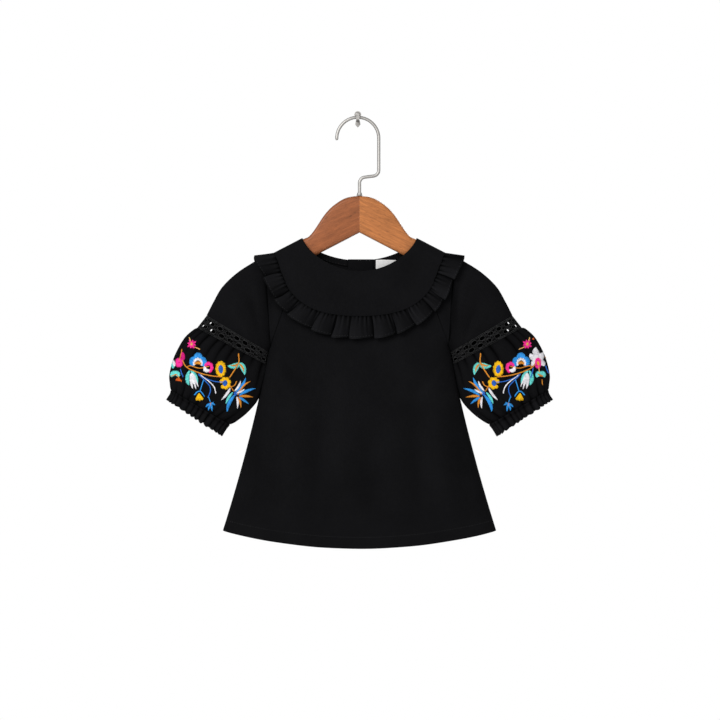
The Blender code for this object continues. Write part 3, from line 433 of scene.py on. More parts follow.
class Sheet:
    """The middle surface of a piece of cloth, which `wall` turns into a shell.

    Each corner also carries how much painted shade darkens its colour, most deep in folds, and square says
    which way its edge is cut.
    """

    def __init__(self):
        self.corners = []
        self.faces = []
        self.square = {}
        self.places = {}
        self.flat = []
        self.hollow = []

    def corner(self, place, flat, square=None, hollow=0.0):
        key = tuple(round(value, 3) for value in place)
        if key not in self.places:
            self.places[key] = len(self.corners)
            self.corners.append(tuple(place))
            self.flat.append(flat)
            self.hollow.append(hollow)
        index = self.places[key]
        if square is not None:
            self.square[index] = Vector(square).normalized()
        return index

    def face(self, indices):
        kept = []
        for index in indices:
            if index not in kept:
                kept.append(index)
        if len(kept) > 2:
            self.faces.append(kept)

    def grid(self, rows, closed=False):
        for upper, lower in zip(rows, rows[1:]):
            count = len(upper) if closed else len(upper) - 1
            for place in range(count):
                following = (place + 1) % len(upper)
                self.face([upper[place], upper[following], lower[following], lower[place]])

    def wall(self, name, thickness, look, x=GARMENT_X, rim=0.3):
        """Offset the surface both ways, and close its edge with a soft rim."""
        places = np.array(self.corners, float)
        count = len(places)
        sums = np.zeros((count, 3))
        quads = np.array([f if len(f) == 4 else [f[0], f[1], f[2], f[2]] for f in self.faces])
        flats = np.cross(places[quads[:, 2]] - places[quads[:, 0]],
                         places[quads[:, 3]] - places[quads[:, 1]])
        for side in range(4):
            np.add.at(sums, quads[:, side], flats)
        for index, axis in self.square.items():
            sums[index] -= np.array(axis) * np.dot(sums[index], axis)
        normals = sums / np.maximum(np.linalg.norm(sums, axis=1), 1e-12)[:, None]
        edges = {}
        for number, face in enumerate(self.faces):
            for start, end in zip(face, face[1:] + face[:1]):
                edges[(start, end)] = number
        open_edges = [edge for edge in edges if (edge[1], edge[0]) not in edges]
        outward = np.zeros((count, 3))
        for start, end in open_edges:
            away = np.cross(places[end] - places[start], normals[start])
            outward[start] += away
            outward[end] += away
        size = np.linalg.norm(outward, axis=1)
        inset = outward / np.maximum(size, 1e-9)[:, None] * thickness * rim
        outer = places + normals * thickness / 2 - inset
        inner = places - normals * thickness / 2 - inset
        rims = sorted({index for edge in open_edges for index in edge})
        middle = {index: 2 * count + number for number, index in enumerate(rims)}
        faces = [list(face) for face in self.faces]
        faces += [[index + count for index in reversed(face)] for face in self.faces]
        for start, end in open_edges:
            faces.append([end, start, middle[start], middle[end]])
            faces.append([middle[end], middle[start], start + count, end + count])
        corners = np.concatenate([outer, inner, places[rims]]) if rims \
            else np.concatenate([outer, inner])
        flat = self.flat + self.flat + [self.flat[index] for index in rims]
        made = made_mesh(name, corners, faces, look, x, flat)
        # Rim corners get 0.5 more painted shade, so every cut edge is painted darker.
        hollow = self.hollow + self.hollow + [self.hollow[index] + 0.5 for index in rims]
        layer = made.data.attributes.new("hollow", "FLOAT", "POINT")
        layer.data.foreach_set("value", hollow)
        return made


def made_mesh(name, corners, faces, look, x=GARMENT_X, flat=None, sharp=180):
    """A smooth-shaded object from corners in millimetres, with a UV map in metres."""
    mesh = bpy.data.meshes.new(name)
    shifted = [((cx + x) * MM, cy * MM, cz * MM) for cx, cy, cz in corners]
    mesh.from_pydata(shifted, [], faces)
    mesh.materials.append(look)
    if flat is not None:
        layer = mesh.uv_layers.new(name="cloth")
        order = np.zeros(len(mesh.loops), int)
        mesh.loops.foreach_get("vertex_index", order)
        values = np.array(flat, float)[order] * MM
        layer.data.foreach_set("uv", values.ravel())
    mesh.shade_smooth()
    if sharp < 180:
        mesh.set_sharp_from_angle(angle=radians(sharp))
    mesh.validate()
    made = bpy.data.objects.new(name, mesh)
    bpy.context.scene.collection.objects.link(made)
    return made


# Steps along the seams and down the pieces; the second seam meets the yoke at JUNCTION
SEAM_SEGMENTS = 60
JUNCTION = 28
YOKE_ROWS = 24
BODY_ROWS = 92
SIDE_STOPS = round_stops(SIDE_ROUND)
SECOND_SEAM_STEPS = 20
SIDE_COLUMNS = 12

seam_at, seam_length = along(YOKE_SEAM)
ruffle_at, ruffle_length = along(RUFFLE_EDGE)
RUFFLE_SHADE = [ruffle_at(ruffle_length * step / 60) for step in range(61)]
armhole_at, armhole_length = along(ARMHOLE)
SEAM_POINTS = [seam_at(length) for length in stations(seam_length, SEAM_SEGMENTS)]
SECOND_SEAM_REACH = dist(SEAM_POINTS[JUNCTION], ARMPIT)
SECOND_SEAM_STOPS = SIDE_STOPS + [
    SIDE_ROUND + (SECOND_SEAM_REACH - SIDE_ROUND) * step / SECOND_SEAM_STEPS
    for step in range(1, SECOND_SEAM_STEPS)]


def neck_z(x, depth):
    """Height of a neckline of that depth."""
    share = max(1 - (x / NECK_HALF_WIDTH) ** 2, 0.0)
    return NECK_POINT_Z - depth * share ** NECK_ROUNDNESS


def neck_points(depth):
    """Right half of a neckline, from the shoulder to the middle."""
    dense = []
    for turn in range(81):
        x = NECK_HALF_WIDTH * cos(turn * pi / 160)
        dense.append(Point(x, neck_z(x, depth)))
    at, length = along(dense, 2)
    made = [at(stop) for stop in stations(length, SEAM_SEGMENTS)]
    made[-1] = Point(0.0, NECK_POINT_Z - depth)
    return made


def second_seam():
    """Seam from the armpit up to the yoke seam, right half, without its top end."""
    return [blend(ARMPIT, SEAM_POINTS[JUNCTION], stop / SECOND_SEAM_REACH)
            for stop in SECOND_SEAM_STOPS]


def cloth_rows(sheet, rows, face, creases=()):
    """Corners in a sheet for rows of flat points."""
    made = []
    for row in rows:
        indices = []
        for point in row:
            place = cloth_point(point, face, 0.0, creases)
            folded = abs(place[1] - HANG_Y) < SEAM_GAP / 2 + 0.01
            flat = (point.x + face * 400, point.z)
            # Painted shade in the creases' troughs, painted highlight on their ridges, and the ruffle's
            # painted shadow on the body.
            hollow = -0.22 * creased(point.x, point.z, creases)
            if point.z < RUFFLE_EDGE[0].z:
                hollow += under_ruffle(point)
            indices.append(sheet.corner(place, flat, (0, 1, 0) if folded else None, hollow))
        made.append(indices)
    return made


def under_ruffle(point):
    """How deep in the ruffle's shade a point of the body is."""
    if point.z < SHADE_LOW or abs(point.x) > SHADE_HALF_WIDTH:
        return 0.0
    reach = min(dist((abs(point.x), point.z), spot) for spot in RUFFLE_SHADE)
    return SHADE_DARK * exp(-(reach / SHADE_REACH) ** 2)


def eased_shares(count):
    """Shares from 0 to 1, with a close row beside each end for its turned edge."""
    inner = [(step + 1) / (count + 1) for step in range(count)]
    return [0.0, 0.2 / (count + 1)] + inner + [1 - 0.2 / (count + 1), 1.0]


def yoke_rows(neck_depth, seam_shift):
    """Flat points of the yoke, right half, from neck to seam."""
    top = neck_points(neck_depth)
    bottom = nudged(SEAM_POINTS, YOKE_CENTRE, seam_shift)
    bottom[0] = Point(bottom[0].x, shoulder_z(bottom[0].x))
    return [[blend(a, b, share) for a, b in zip(top, bottom)]
            for share in eased_shares(YOKE_ROWS)]


def body_patch(seam_shift):
    """Flat points of the body below the yoke, row by row, for the whole width."""
    lower = nudged(second_seam(), SIDE_PANEL_CENTRE, seam_shift * 2)
    lower[0] = ARMPIT
    top = lower + nudged(SEAM_POINTS[JUNCTION:], YOKE_CENTRE, seam_shift)
    junction = len(lower)
    top[junction] = nudged([top[junction]], SIDE_PANEL_CENTRE, seam_shift)[0]
    top[-1] = Point(0.0, top[-1].z)
    inner = HEM_CORNER.x - SIDE_ROUND
    rest = len(top) - len(SIDE_STOPS)
    widths = [HEM_CORNER.x - stop for stop in SIDE_STOPS]
    widths += [inner * (1 - (i + 1) / rest) for i in range(rest)]
    bottom = [Point(x, hem_z(x)) for x in widths]
    rows = []
    for share in eased_shares(BODY_ROWS):
        points = [blend(a, b, share) for a, b in zip(top, bottom)]
        bow = SIDE_BOW * 4 * share * (1 - share)
        points = [Point(x - bow * (x / points[0].x) ** 2, z) for x, z in points]
        points[0] = Point(side_x(points[0].z), points[0].z)
        rows.append(mirrored(points))
    return rows


def side_patch(seam_shift, to_armpit):
    """Flat points between yoke seam, second seam and armhole, right half."""
    upper = nudged(SEAM_POINTS[:JUNCTION], YOKE_CENTRE, seam_shift)
    upper[0] = Point(upper[0].x, shoulder_z(upper[0].x))
    lower = nudged([SEAM_POINTS[JUNCTION]], YOKE_CENTRE, seam_shift)
    lower = nudged(lower, SIDE_PANEL_CENTRE, -seam_shift)
    lower += nudged(list(reversed(second_seam()[1:])), SIDE_PANEL_CENTRE, -seam_shift * 2)
    inner = upper + lower
    lengths = stations(seam_length, SEAM_SEGMENTS)[:JUNCTION]
    whole = stations(seam_length, SEAM_SEGMENTS)[JUNCTION] + SECOND_SEAM_REACH
    stops = [SECOND_SEAM_REACH] + list(reversed(SECOND_SEAM_STOPS[1:]))
    lengths += [whole - stop for stop in stops]
    scale = (armhole_length - SHOULDER_ROUND) / (whole - SHOULDER_ROUND)
    outer = [armhole_at(length if length <= SHOULDER_ROUND
                        else SHOULDER_ROUND + (length - SHOULDER_ROUND) * scale)
             for length in lengths]
    outer[0] = Point(outer[0].x, shoulder_z(outer[0].x))
    rows = [[blend(a, b, step / SIDE_COLUMNS) for step in range(SIDE_COLUMNS + 1)]
            for a, b in zip(inner, outer)]
    if to_armpit:
        rows.append([ARMPIT] * (SIDE_COLUMNS + 1))
    return rows


def square_to_second_seam(sheet, indices, side):
    """Cut a sheet's edge square to the seam from armpit to yoke."""
    top = SEAM_POINTS[JUNCTION]
    across = Vector((side * (top.z - ARMPIT.z), 0, ARMPIT.x - top.x))
    for index in indices:
        sheet.square[index] = across.normalized()


def pucker(place, share):
    """Small gathers where the frill leaves its seam, some longer than others."""
    reach = PUCKER_LENGTH * (1 + 0.45 * sin(place / 5.3) + 0.3 * sin(place / 2.9))
    wave = sin(place / 0.98 + 0.8 * sin(place / 7)) \
        + 0.5 * sin(place / 0.63 + 1.3)
    return wave * exp(-(share * RUFFLE_HEIGHT / reach) ** 1.3)


def pleat_painted_shade(place, height, share):
    """How much painted shade a point of the frill gets: darker low in its folds, by its seam and in
    puckers, with painted highlight on raised pleats.
    """
    low = clamp(1 - height / 0.6) ** 1.6
    high = clamp((height - 0.66) / 0.3)
    tone = (PLEAT_DARK * low - PLEAT_LIGHT * high) * (0.45 + 0.55 * share)
    tone += ROOT_DARK * exp(-share * 11)
    return tone - PUCKER_DARK * pucker(place, share)


def ruffle_point(place, height, tuck, share, face, sway):
    """A point of the frill: place is along its free edge, and share runs out to it."""
    flat = 1 if face < 0 else RUFFLE_BACK_FLATTENING
    folded = abs(place) > ruffle_length - 0.01
    fade = min((ruffle_length - abs(place)) / PLEAT_FADE, 1)
    moved_place = place + (tuck * PLEAT_TUCK * share + sway * sin(pi * share)) * fade
    moved_place = clamp(moved_place, -ruffle_length, ruffle_length)
    side = -1 if moved_place < 0 else 1
    reach = (ruffle_length - abs(moved_place)) / ruffle_length
    root = seam_at(seam_length * reach)
    below = clamp((shoulder_z(root.x) - root.z) * SHOULDER_COS / SHOULDER_ROUND)
    root = Point(root.x, root.z + RUFFLE_ROOT_LIFT * (1 - below))
    spot = blend(root, ruffle_at(ruffle_length - abs(moved_place)), share)
    top = blend(Point(YOKE_SEAM[0].x, YOKE_SEAM[0].z + RUFFLE_ROOT_LIFT), RUFFLE_EDGE[0], share)
    round_off = rounding(top.z - spot.z, SHOULDER_ROUND)
    rise = PLEAT_ROOT_HEIGHT + (PLEAT_EDGE_HEIGHT - PLEAT_ROOT_HEIGHT) * share
    lift = RUFFLE_ROOT_LIFT + RUFFLE_EDGE_LIFT * share * flat
    depth = (half_depth(spot.z) + lift) * round_off
    depth += rise * height * fade * flat
    depth += PUCKER_HEIGHT * pucker(place, share) * fade * round_off * min(share * 12, 1)
    depth -= RUFFLE_ROOT_SINK * clamp(1 - share * 9) * round_off
    out = nudged([spot], YOKE_CENTRE, PLEAT_STEP_OUT * (height - 0.4) * share ** 2 * fade)[0]
    if folded:
        return (side * spot.x, HANG_Y + face * SEAM_GAP / 2, spot.z), True
    return (side * out.x, HANG_Y + face * (SEAM_GAP / 2 + depth), out.z), False


def pleat_columns():
    """Places, heights, tucks and sways of the ruffle's columns, from left to right."""
    columns = []
    for number, (start, end) in enumerate(zip(RUFFLE_FOLDS, RUFFLE_FOLDS[1:])):
        width = end - start
        for point in PLEAT_PROFILE:
            columns.append((start + width * point.phase,
                            point.height * PLEAT_HEIGHTS[number], point.tuck,
                            PLEAT_SWAYS[number] * (1 - point.phase)))
    dense = []
    for first, second in zip(columns, columns[1:]):
        pieces = max(1, ceil((second[0] - first[0]) / PLEAT_COLUMN_STEP))
        for step in range(pieces):
            t = step / pieces
            dense.append(tuple(a + (b - a) * t for a, b in zip(first, second)))
    return dense + [(RUFFLE_FOLDS[-1], 0.0, 0.0, 0.0)]


def ruffle(face, name, look):
    """Front or back of the ruffle."""
    sheet = Sheet()
    rows = []
    for share in eased_shares(RUFFLE_ROWS):
        row = []
        for place, height, tuck, sway in pleat_columns():
            place = clamp(place, -ruffle_length, ruffle_length)
            corner, folded = ruffle_point(place, height, tuck, share, face, sway)
            flat = (place * 1.4 + face * 300, share * 27)
            row.append(sheet.corner(corner, flat, (0, 1, 0) if folded else None,
                                    pleat_painted_shade(place, height, share)))
        rows.append(row)
    sheet.grid(rows)
    return sheet.wall(name, FRILL_CLOTH, look)


def sleeve_axis(rings):
    """The way a sleeve runs, from its first ring to its last."""
    first, last = rings[0], rings[-1]
    return Vector((last.out_x + last.in_x - first.out_x - first.in_x, 0,
                   last.out_z + last.in_z - first.out_z - first.in_z)).normalized()


def ring_point(ring, turn, wave=0.0):
    """A point of a flat oval ring: turn 0 is its outer end, and pi its inner end."""
    share = (1 - cos(turn)) / 2
    outward = Vector((ring.out_x - ring.in_x, 0, ring.out_z - ring.in_z)).normalized()
    place = Vector((ring.out_x + (ring.in_x - ring.out_x) * share, HANG_Y,
                    ring.out_z + (ring.in_z - ring.out_z) * share))
    swell = copysign(abs(sin(turn)) ** ring.round, sin(turn))
    side = ring.front if swell > 0 else ring.back
    place.y += ring.tuck * share ** 3 - side * swell
    facing = outward * cos(turn) + Vector((0, -sin(turn), 0))
    return place + facing * wave * ring.gather


def moved(ring, shift):
    """A ring shifted in its own plane."""
    return ring._replace(out_x=ring.out_x + shift.x, out_z=ring.out_z + shift.z,
                         in_x=ring.in_x + shift.x, in_z=ring.in_z + shift.z)


def mirror_x(place, side):
    """The like place on the left or right sleeve."""
    return (place[0] * side, place[1], place[2])


def upper_sleeve(side, name, look):
    """Plain upper sleeve, from the armhole to the lace."""
    sheet = Sheet()
    axis = mirror_x(sleeve_axis(LACE_RINGS), side)
    rings = between(UPPER_RINGS, UPPER_ROWS)
    turns = [2 * pi * step / UPPER_COLUMNS for step in range(UPPER_COLUMNS)]
    armhole = []
    for turn in turns:
        share = (1 - cos(turn)) / 2
        point = armhole_at(armhole_length * share)
        gap = SEAM_GAP + share ** 6 * ARMPIT_EASE + (1 - share) ** 12 * TIP_EASE
        depth = max(cloth_depth(*point), 1.5 * min(abs(sin(turn)) * 5, 1))
        face = -1 if sin(turn) > 0 else 1
        armhole.append(Vector((point.x + gap, HANG_Y + face * depth, point.z)))
    first = [ring_point(rings[0], turn) for turn in turns]
    second = [ring_point(rings[UPPER_ROWS], turn) for turn in turns]
    rows = []
    for step in range(SLEEVE_HEAD_ROWS):
        t = step / SLEEVE_HEAD_ROWS
        rows.append([Vector([passing(2 * a[i] - b[i], a[i], b[i], c[i], t)
                             for i in range(3)])
                     for a, b, c in zip(armhole, first, second)])
    rows += [[ring_point(ring, turn) for turn in turns] for ring in rings]
    made = []
    for number, row in enumerate(rows):
        square = (1, 0, 0) if number == 0 else axis if number == len(rows) - 1 else None
        at_edge = min(number, len(rows) - 1 - number)
        hold = min(at_edge / 4, 1)
        indices = []
        for turn, place in zip(turns, row):
            swell = sin(turn)
            fold = creased(place.x, place.z, SLEEVE_CREASES) * abs(swell) * hold
            place = place + Vector((0, -copysign(fold, swell), 0))
            flat = (turn / pi * 115 + side * 900, number * 3.0)
            # Painted shade in the creases, by the sleeve's ends and near the armpit, with painted
            # highlight on the ridges.
            hollow = -0.2 * fold + 0.5 * exp(-at_edge / 2)
            hollow += 0.9 * exp(-abs(place.x - ARMPIT.x) / 7)
            indices.append(sheet.corner(mirror_x(place, side), flat, square, hollow))
        made.append(indices)
    sheet.grid(made, closed=True)
    return sheet.wall(name, CLOTH, look)


def uneven_wave(turn, count, seed):
    """Gathers round a sleeve: sharp troughs between soft ridges, none alike."""
    chance = random.Random(seed)
    shift = sum(chance.uniform(0.3, 0.55) * sin(order * turn + chance.uniform(0, 6.28))
                for order in (2, 3, 5, 7))
    size = 1 + sum(chance.uniform(0.12, 0.24) * sin(order * turn
                                                    + chance.uniform(0, 6.28))
                   for order in (3, 4, 6, 9))
    phase = count * turn / 2 + shift
    return size * (1 - 2 * (1 - abs(sin(phase)) ** 0.75))


def gathered_tube(side, name, rings, columns, thickness, look, point):
    """A tube of rings; point gives place, flat place and painted shade from ring, down and turn."""
    sheet = Sheet()
    square = mirror_x(sleeve_axis(PUFF_RINGS), side)
    rows = []
    for number, ring in enumerate(rings):
        at_rim = number in (0, len(rings) - 1)
        row = []
        for step in range(columns):
            place, flat, hollow = point(ring, number / (len(rings) - 1),
                                        2 * pi * step / columns)
            row.append(sheet.corner(mirror_x(place, side), flat,
                                    square if at_rim else None, hollow))
        rows.append(row)
    sheet.grid(rows, closed=True)
    return sheet.wall(name, thickness, look)


def puff(side, name, look):
    """Gathered lower sleeve from the lace to the cuff."""
    rings = [moved(PUFF_RINGS[0], sleeve_axis(LACE_RINGS) * SEAM_GAP)] + PUFF_RINGS[1:]
    seed = 11 if side < 0 else 23

    def point(ring, down, turn):
        top = uneven_wave(turn, PUFF_TOP_GATHERS, seed)
        low = uneven_wave(turn, PUFF_LOW_GATHERS, seed + 1)
        reach = 0.34 + 0.12 * sin(3 * turn + seed) + 0.08 * sin(8 * turn)
        climb = 0.2 + 0.08 * sin(4 * turn + seed) + 0.06 * sin(9 * turn)
        from_top = exp(-(down / reach) ** 1.5)
        from_low = exp(-((1 - down) / climb) ** 1.5)
        height = PUFF_TOP_HEIGHT * top * from_top + PUFF_LOW_HEIGHT * low * from_low
        height += PUFF_BILLOW * sin(5 * turn + 2.2 * down) * sin(pi * down)
        height *= min(1.0, down / 0.05, (1 - down) / 0.07)
        # Painted shade in the gathers' troughs and by the lace and cuff seams, with slight painted
        # lightening elsewhere.
        top_fold = max(0.0, (1 - top) / 2) ** 1.6 * from_top
        low_fold = max(0.0, (1 - low) / 2) ** 1.6 * from_low
        hollow = 1.7 * top_fold + 1.5 * low_fold - 0.3 + 0.5 * exp(-down * 22)
        hollow += 0.6 * exp(-(1 - down) * 18)
        return (ring_point(ring._replace(gather=1.0), turn, height),
                (turn / pi * 150 + side * 1500, down * 78), hollow)

    return gathered_tube(side, name, between(rings, PUFF_ROWS), PUFF_COLUMNS, CLOTH,
                         look, point)


def cuff(side, name, look):
    """Elastic cuff with a frilled, scalloped end."""
    axis = sleeve_axis(PUFF_RINGS)
    rings = between([moved(ring, axis * SEAM_GAP) for ring in CUFF_RINGS], CUFF_ROWS)

    def point(ring, down, turn):
        wave = uneven_wave(turn, CUFF_GATHERS, 41 + side)
        place = ring_point(ring, turn, wave * 1.1 * min(1.0, down / 0.2))
        place += axis * (CUFF_SCALLOP * (0.5 + 0.5 * wave) * down ** 3)
        # Painted highlight on the gathers' ridges, painted shade in their troughs, and a painted dark band
        # a third of the way down.
        return (place, (turn / pi * 150 + side * 2100, 80 + down * 12),
                -0.75 * wave + 0.6 * exp(-((down - 0.3) / 0.16) ** 2))

    return gathered_tube(side, name, rings, CUFF_COLUMNS, FRILL_CLOTH, look, point)


def lace_surface(rings):
    """A function that gives a place on the band from shares round and down it."""
    steps = 180
    turns = [pi * step / steps for step in range(steps + 1)]
    spots = [ring_point(rings[0], turn) for turn in turns]
    lengths = [0.0]
    for start, end in zip(spots, spots[1:]):
        lengths.append(lengths[-1] + (end - start).length)

    def at(share, down, face):
        wanted = clamp(share) * lengths[-1]
        place = 1
        while lengths[place] < wanted - 1e-9:
            place += 1
        rest = (wanted - lengths[place - 1]) / (lengths[place] - lengths[place - 1])
        turn = (turns[place - 1] + (turns[place] - turns[place - 1]) * rest) * -face
        upper = ring_point(rings[0], turn)
        lower = ring_point(rings[-1], turn)
        spot = upper + (lower - upper) * down
        if min(share, 1 - share) < 1e-6:
            spot.y = HANG_Y + face * SEAM_GAP / 2
        return spot
    return at


LACE_BAND = [moved(LACE_RINGS[0], sleeve_axis(LACE_RINGS) * SEAM_GAP), LACE_RINGS[-1]]
LACE_WIDTH = dist((LACE_BAND[0].out_x, LACE_BAND[0].out_z),
                  (LACE_BAND[-1].out_x, LACE_BAND[-1].out_z))
LACE_BAR = LACE_EDGE_BAR / LACE_WIDTH
LACE_ROW_HEIGHT = (1 - 2 * LACE_BAR) / LACE_ROWS
lace_at = lace_surface(LACE_BAND)


def first_cell(row, face):
    """Rows stand half a cell apart, and the back's differ from the front's."""
    return (row + (1 if face > 0 else 0)) % 2


def lace_cells(face):
    """Left, right and top of each open cell of half a band, in shares of it."""
    for row in range(LACE_ROWS):
        for cell in range(first_cell(row, face), 2 * LACE_COLUMNS - 1, 2):
            yield (cell / (2 * LACE_COLUMNS), (cell + 2) / (2 * LACE_COLUMNS),
                   LACE_BAR + row * LACE_ROW_HEIGHT)


def hole_share(face, left):
    """Size of a hole: uneven, and drawn together behind but for the outer end."""
    if face > 0 and left > 0.12:
        return 0.4
    return 0.84 + 0.24 * ((left * 37 + 0.3) % 1)


def cell_ring(left, right, top, grow, count):
    """Points of the rounded hole of one cell, or of a thread laid round it."""
    middle, centre = (left + right) / 2, top + LACE_ROW_HEIGHT / 2
    wide = (right - left) / 2 * LACE_HOLE_WIDTH * grow
    tall = LACE_ROW_HEIGHT / 2 * LACE_HOLE_HEIGHT * grow
    made = []
    for step in range(count):
        turn = 2 * pi * step / count
        across = copysign(abs(cos(turn)) ** 0.85, cos(turn))
        along_down = copysign(abs(sin(turn)) ** 0.85, sin(turn))
        made.append((middle + wide * across, centre + tall * along_down))
    return made


def lace(side, face, name, look):
    """Half of the lace band, front or back, with its larger holes cut through."""
    sheet = Sheet()
    axis = mirror_x(sleeve_axis(LACE_RINGS), side)

    def corner(share, down):
        share = clamp(share)
        place = mirror_x(lace_at(share, down, face), side)
        square = axis if down in (0, 1) else None
        if share in (0, 1):
            square = (0, 1, 0)
        return sheet.corner(place, (share * 95 + face * 200, down * 18), square)

    count = 4 * LACE_COLUMNS
    quarters = [step / count for step in range(count + 1)]
    for upper, lower in ((0, LACE_BAR), (1 - LACE_BAR, 1)):
        sheet.grid([[corner(share, down) for share in quarters] for down in (upper, lower)])
    for row in range(LACE_ROWS):
        low_row = LACE_BAR + row * LACE_ROW_HEIGHT
        for start in (0, count - 2) if first_cell(row, face) else ():
            sheet.grid([[corner(share, down) for share in quarters[start:start + 3]]
                        for down in (low_row, low_row + LACE_ROW_HEIGHT)])
    for left, right, top in lace_cells(face):
        quarter = (right - left) / 4
        low = top + LACE_ROW_HEIGHT
        centre = top + LACE_ROW_HEIGHT / 2
        outline = [(right, centre), (right, low), (right - quarter, low),
                   (right - 2 * quarter, low), (left + quarter, low), (left, low),
                   (left, centre), (left, top), (left + quarter, top),
                   (left + 2 * quarter, top), (right - quarter, top), (right, top)]
        outer = [corner(round(share * count) / count, down)
                 if down != centre else corner(share, down) for share, down in outline]
        hole = cell_ring(left, right, top, hole_share(face, left), 12)
        inner = [corner(*spot) for spot in hole]
        for index in range(12):
            following = (index + 1) % 12
            sheet.face([outer[index], outer[following], inner[following], inner[index]])
    if face > 0:
        for indices in sheet.faces:
            indices.reverse()
    return sheet.wall(name, LACE_CLOTH, look)


def strip(name, xs, tops, lowers, lift, thickness, look, rows=6):
    """A band on the inside of the back yoke, between two heights at each x."""
    sheet = Sheet()
    points = [[Point(x, top + (low - top) * step / rows)
               for x, top, low in zip(xs, tops, lowers)] for step in range(rows + 1)]
    sheet.grid([[sheet.corner(cloth_point(point, 1, -lift), point) for point in row]
                for row in points])
    return sheet.wall(name, thickness, look)


def spread(start, end, count):
    """Evenly spaced values from start to end."""
    return [start + (end - start) * step / count for step in range(count + 1)]


# Node helpers

class Value:
    """A node's output that Python's operators turn into Math nodes."""

    def __init__(self, graph, socket):
        self.graph = graph
        self.socket = socket

    def maths(self, operation, *others):
        return self.graph.add("ShaderNodeMath", {"operation": operation},
                              dict(enumerate((self,) + others))).out(0)

    def __add__(self, other):
        return self.maths("ADD", other)

    __radd__ = __add__

    def __mul__(self, other):
        return self.maths("MULTIPLY", other)

    __rmul__ = __mul__

    def sine(self):
        return self.maths("SINE")

    def size(self):
        return self.maths("ABSOLUTE")

    def scaled(self, low, high, to_low=0.0, to_high=1.0):
        return self.graph.add("ShaderNodeMapRange", {"clamp": True}, {
            "Value": self, "From Min": low, "From Max": high,
            "To Min": to_low, "To Max": to_high}).out("Result")


class Node:
    """A node whose outputs are asked for by name or number."""

    def __init__(self, graph, node):
        self.graph = graph
        self.node = node

    def out(self, name):
        return Value(self.graph, self.node.outputs[name])


class Graph:
    """Adds nodes to a tree, with settings first and then sockets' values or links."""

    def __init__(self, tree):
        self.tree = tree

    def add(self, kind, settings=None, sockets=None):
        node = self.tree.nodes.new(kind)
        for key, value in (settings or {}).items():
            if key == "stops":
                ramp = node.color_ramp.elements
                while len(ramp) < len(value):
                    ramp.new(0.5)
                for stop, (place, colour) in zip(ramp, value):
                    stop.position = place
                    stop.color = (*colour, 1.0)
            else:
                setattr(node, key, value)
        for key, value in (sockets or {}).items():
            if isinstance(value, Value):
                self.tree.links.new(value.socket, node.inputs[key])
            else:
                node.inputs[key].default_value = value
        return Node(self, node)

    def vector(self, operation, first, second):
        return self.add("ShaderNodeVectorMath", {"operation": operation},
                        {0: first, 1: second}).out(0)

    def noise(self, where, scale, detail=3.0, rough=0.5):
        return self.add("ShaderNodeTexNoise", {}, {
            "Vector": where, "Scale": scale, "Detail": detail,
            "Roughness": rough}).out(0)

    def mix(self, factor, first, second, blend="MIX"):
        return self.add("ShaderNodeMix", {"data_type": "RGBA", "blend_type": blend}, {
            0: factor, 6: first if isinstance(first, Value) else (*first, 1.0),
            7: second if isinstance(second, Value) else (*second, 1.0)}).out(2)

    def axes(self, vector):
        node = self.add("ShaderNodeSeparateXYZ", {}, {0: vector})
        return node.out("X"), node.out("Y"), node.out("Z")


class Look(Graph):
    """A material on one Principled shader, whose constants are set on its sockets."""

    def __init__(self, name, **constants):
        self.material = bpy.data.materials.new(name)
        self.material.use_nodes = True
        super().__init__(self.material.node_tree)
        self.shader = self.tree.nodes["Principled BSDF"]
        for key, value in constants.items():
            self.shader.inputs[key.replace("_", " ")].default_value = value
        self.places = self.add("ShaderNodeTexCoord")

    def feed(self, socket, value):
        self.tree.links.new(value.socket, self.shader.inputs[socket])

    def bump(self, height, strength, distance):
        made = self.add("ShaderNodeBump", {}, {
            "Height": height, "Strength": strength, "Distance": distance * MM})
        self.feed("Normal", made.out("Normal"))


def shade(colour, factor):
    """A colour made darker or lighter."""
    return tuple(min(channel * factor, 1.0) for channel in colour[:3])


def woven_look(name, colour, pitch, light=1.0):
    """Plain-woven matt cloth: fine over-and-under threads, slubs and soft mottling, darkened by painted
    shade and lightened by painted highlight from each corner's value.
    """
    look = Look(name, Roughness=0.85, Specular_IOR_Level=0.02, Sheen_Weight=0.003,
                Sheen_Roughness=0.5)
    uv = look.places.out("UV")
    across, down, _ = look.axes(uv)
    turn = 2 * pi / (pitch * MM)
    warp = (across * turn).sine()
    weft = (down * turn).sine()
    weave = warp * weft
    slub = look.noise(look.vector("MULTIPLY", uv, (900.0, 90.0, 1.0)), 1.0, 2.0)
    soft = look.noise(look.places.out("Object"), 22.0, 3.0)
    fine = look.noise(look.places.out("Object"), 260.0, 2.0)
    tone = soft * 0.5 + fine * 0.3 + slub * 0.2
    tinted = look.mix(tone.scaled(0.35, 0.65), shade(colour, 0.82 * light),
                      shade(colour, 1.2 * light))
    woven = look.mix(weave.scaled(-1.0, 1.0, 0.0, 0.2), tinted, shade(colour, 0.5))
    # Painted shade: each corner's value darkens the base colour, more strongly on puffs and ruffle, and
    # negative values paint a highlight.
    hollow = look.add("ShaderNodeAttribute", {"attribute_name": "hollow"}).out("Fac")
    reach = 0.9 if name in ("puff_weave", "ruffle_weave") else 1.6
    dim = hollow.scaled(-reach, reach, 1.55, 0.1)
    look.feed("Base Color", look.vector("MULTIPLY", woven, dim))
    look.feed("Roughness", fine.scaled(0.3, 0.7, 0.78, 0.92))
    look.bump(weave * 0.5 + slub * 0.5 + fine * 0.6, 0.45, 0.12)
    return look.material


# Pieces and stitches

def place_piece(piece, slot, *nodes):
    """Let a finished piece ride on the top, and stand for its frame nodes."""
    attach(piece, "root")
    if nodes:
        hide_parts(*nodes)
    return piece


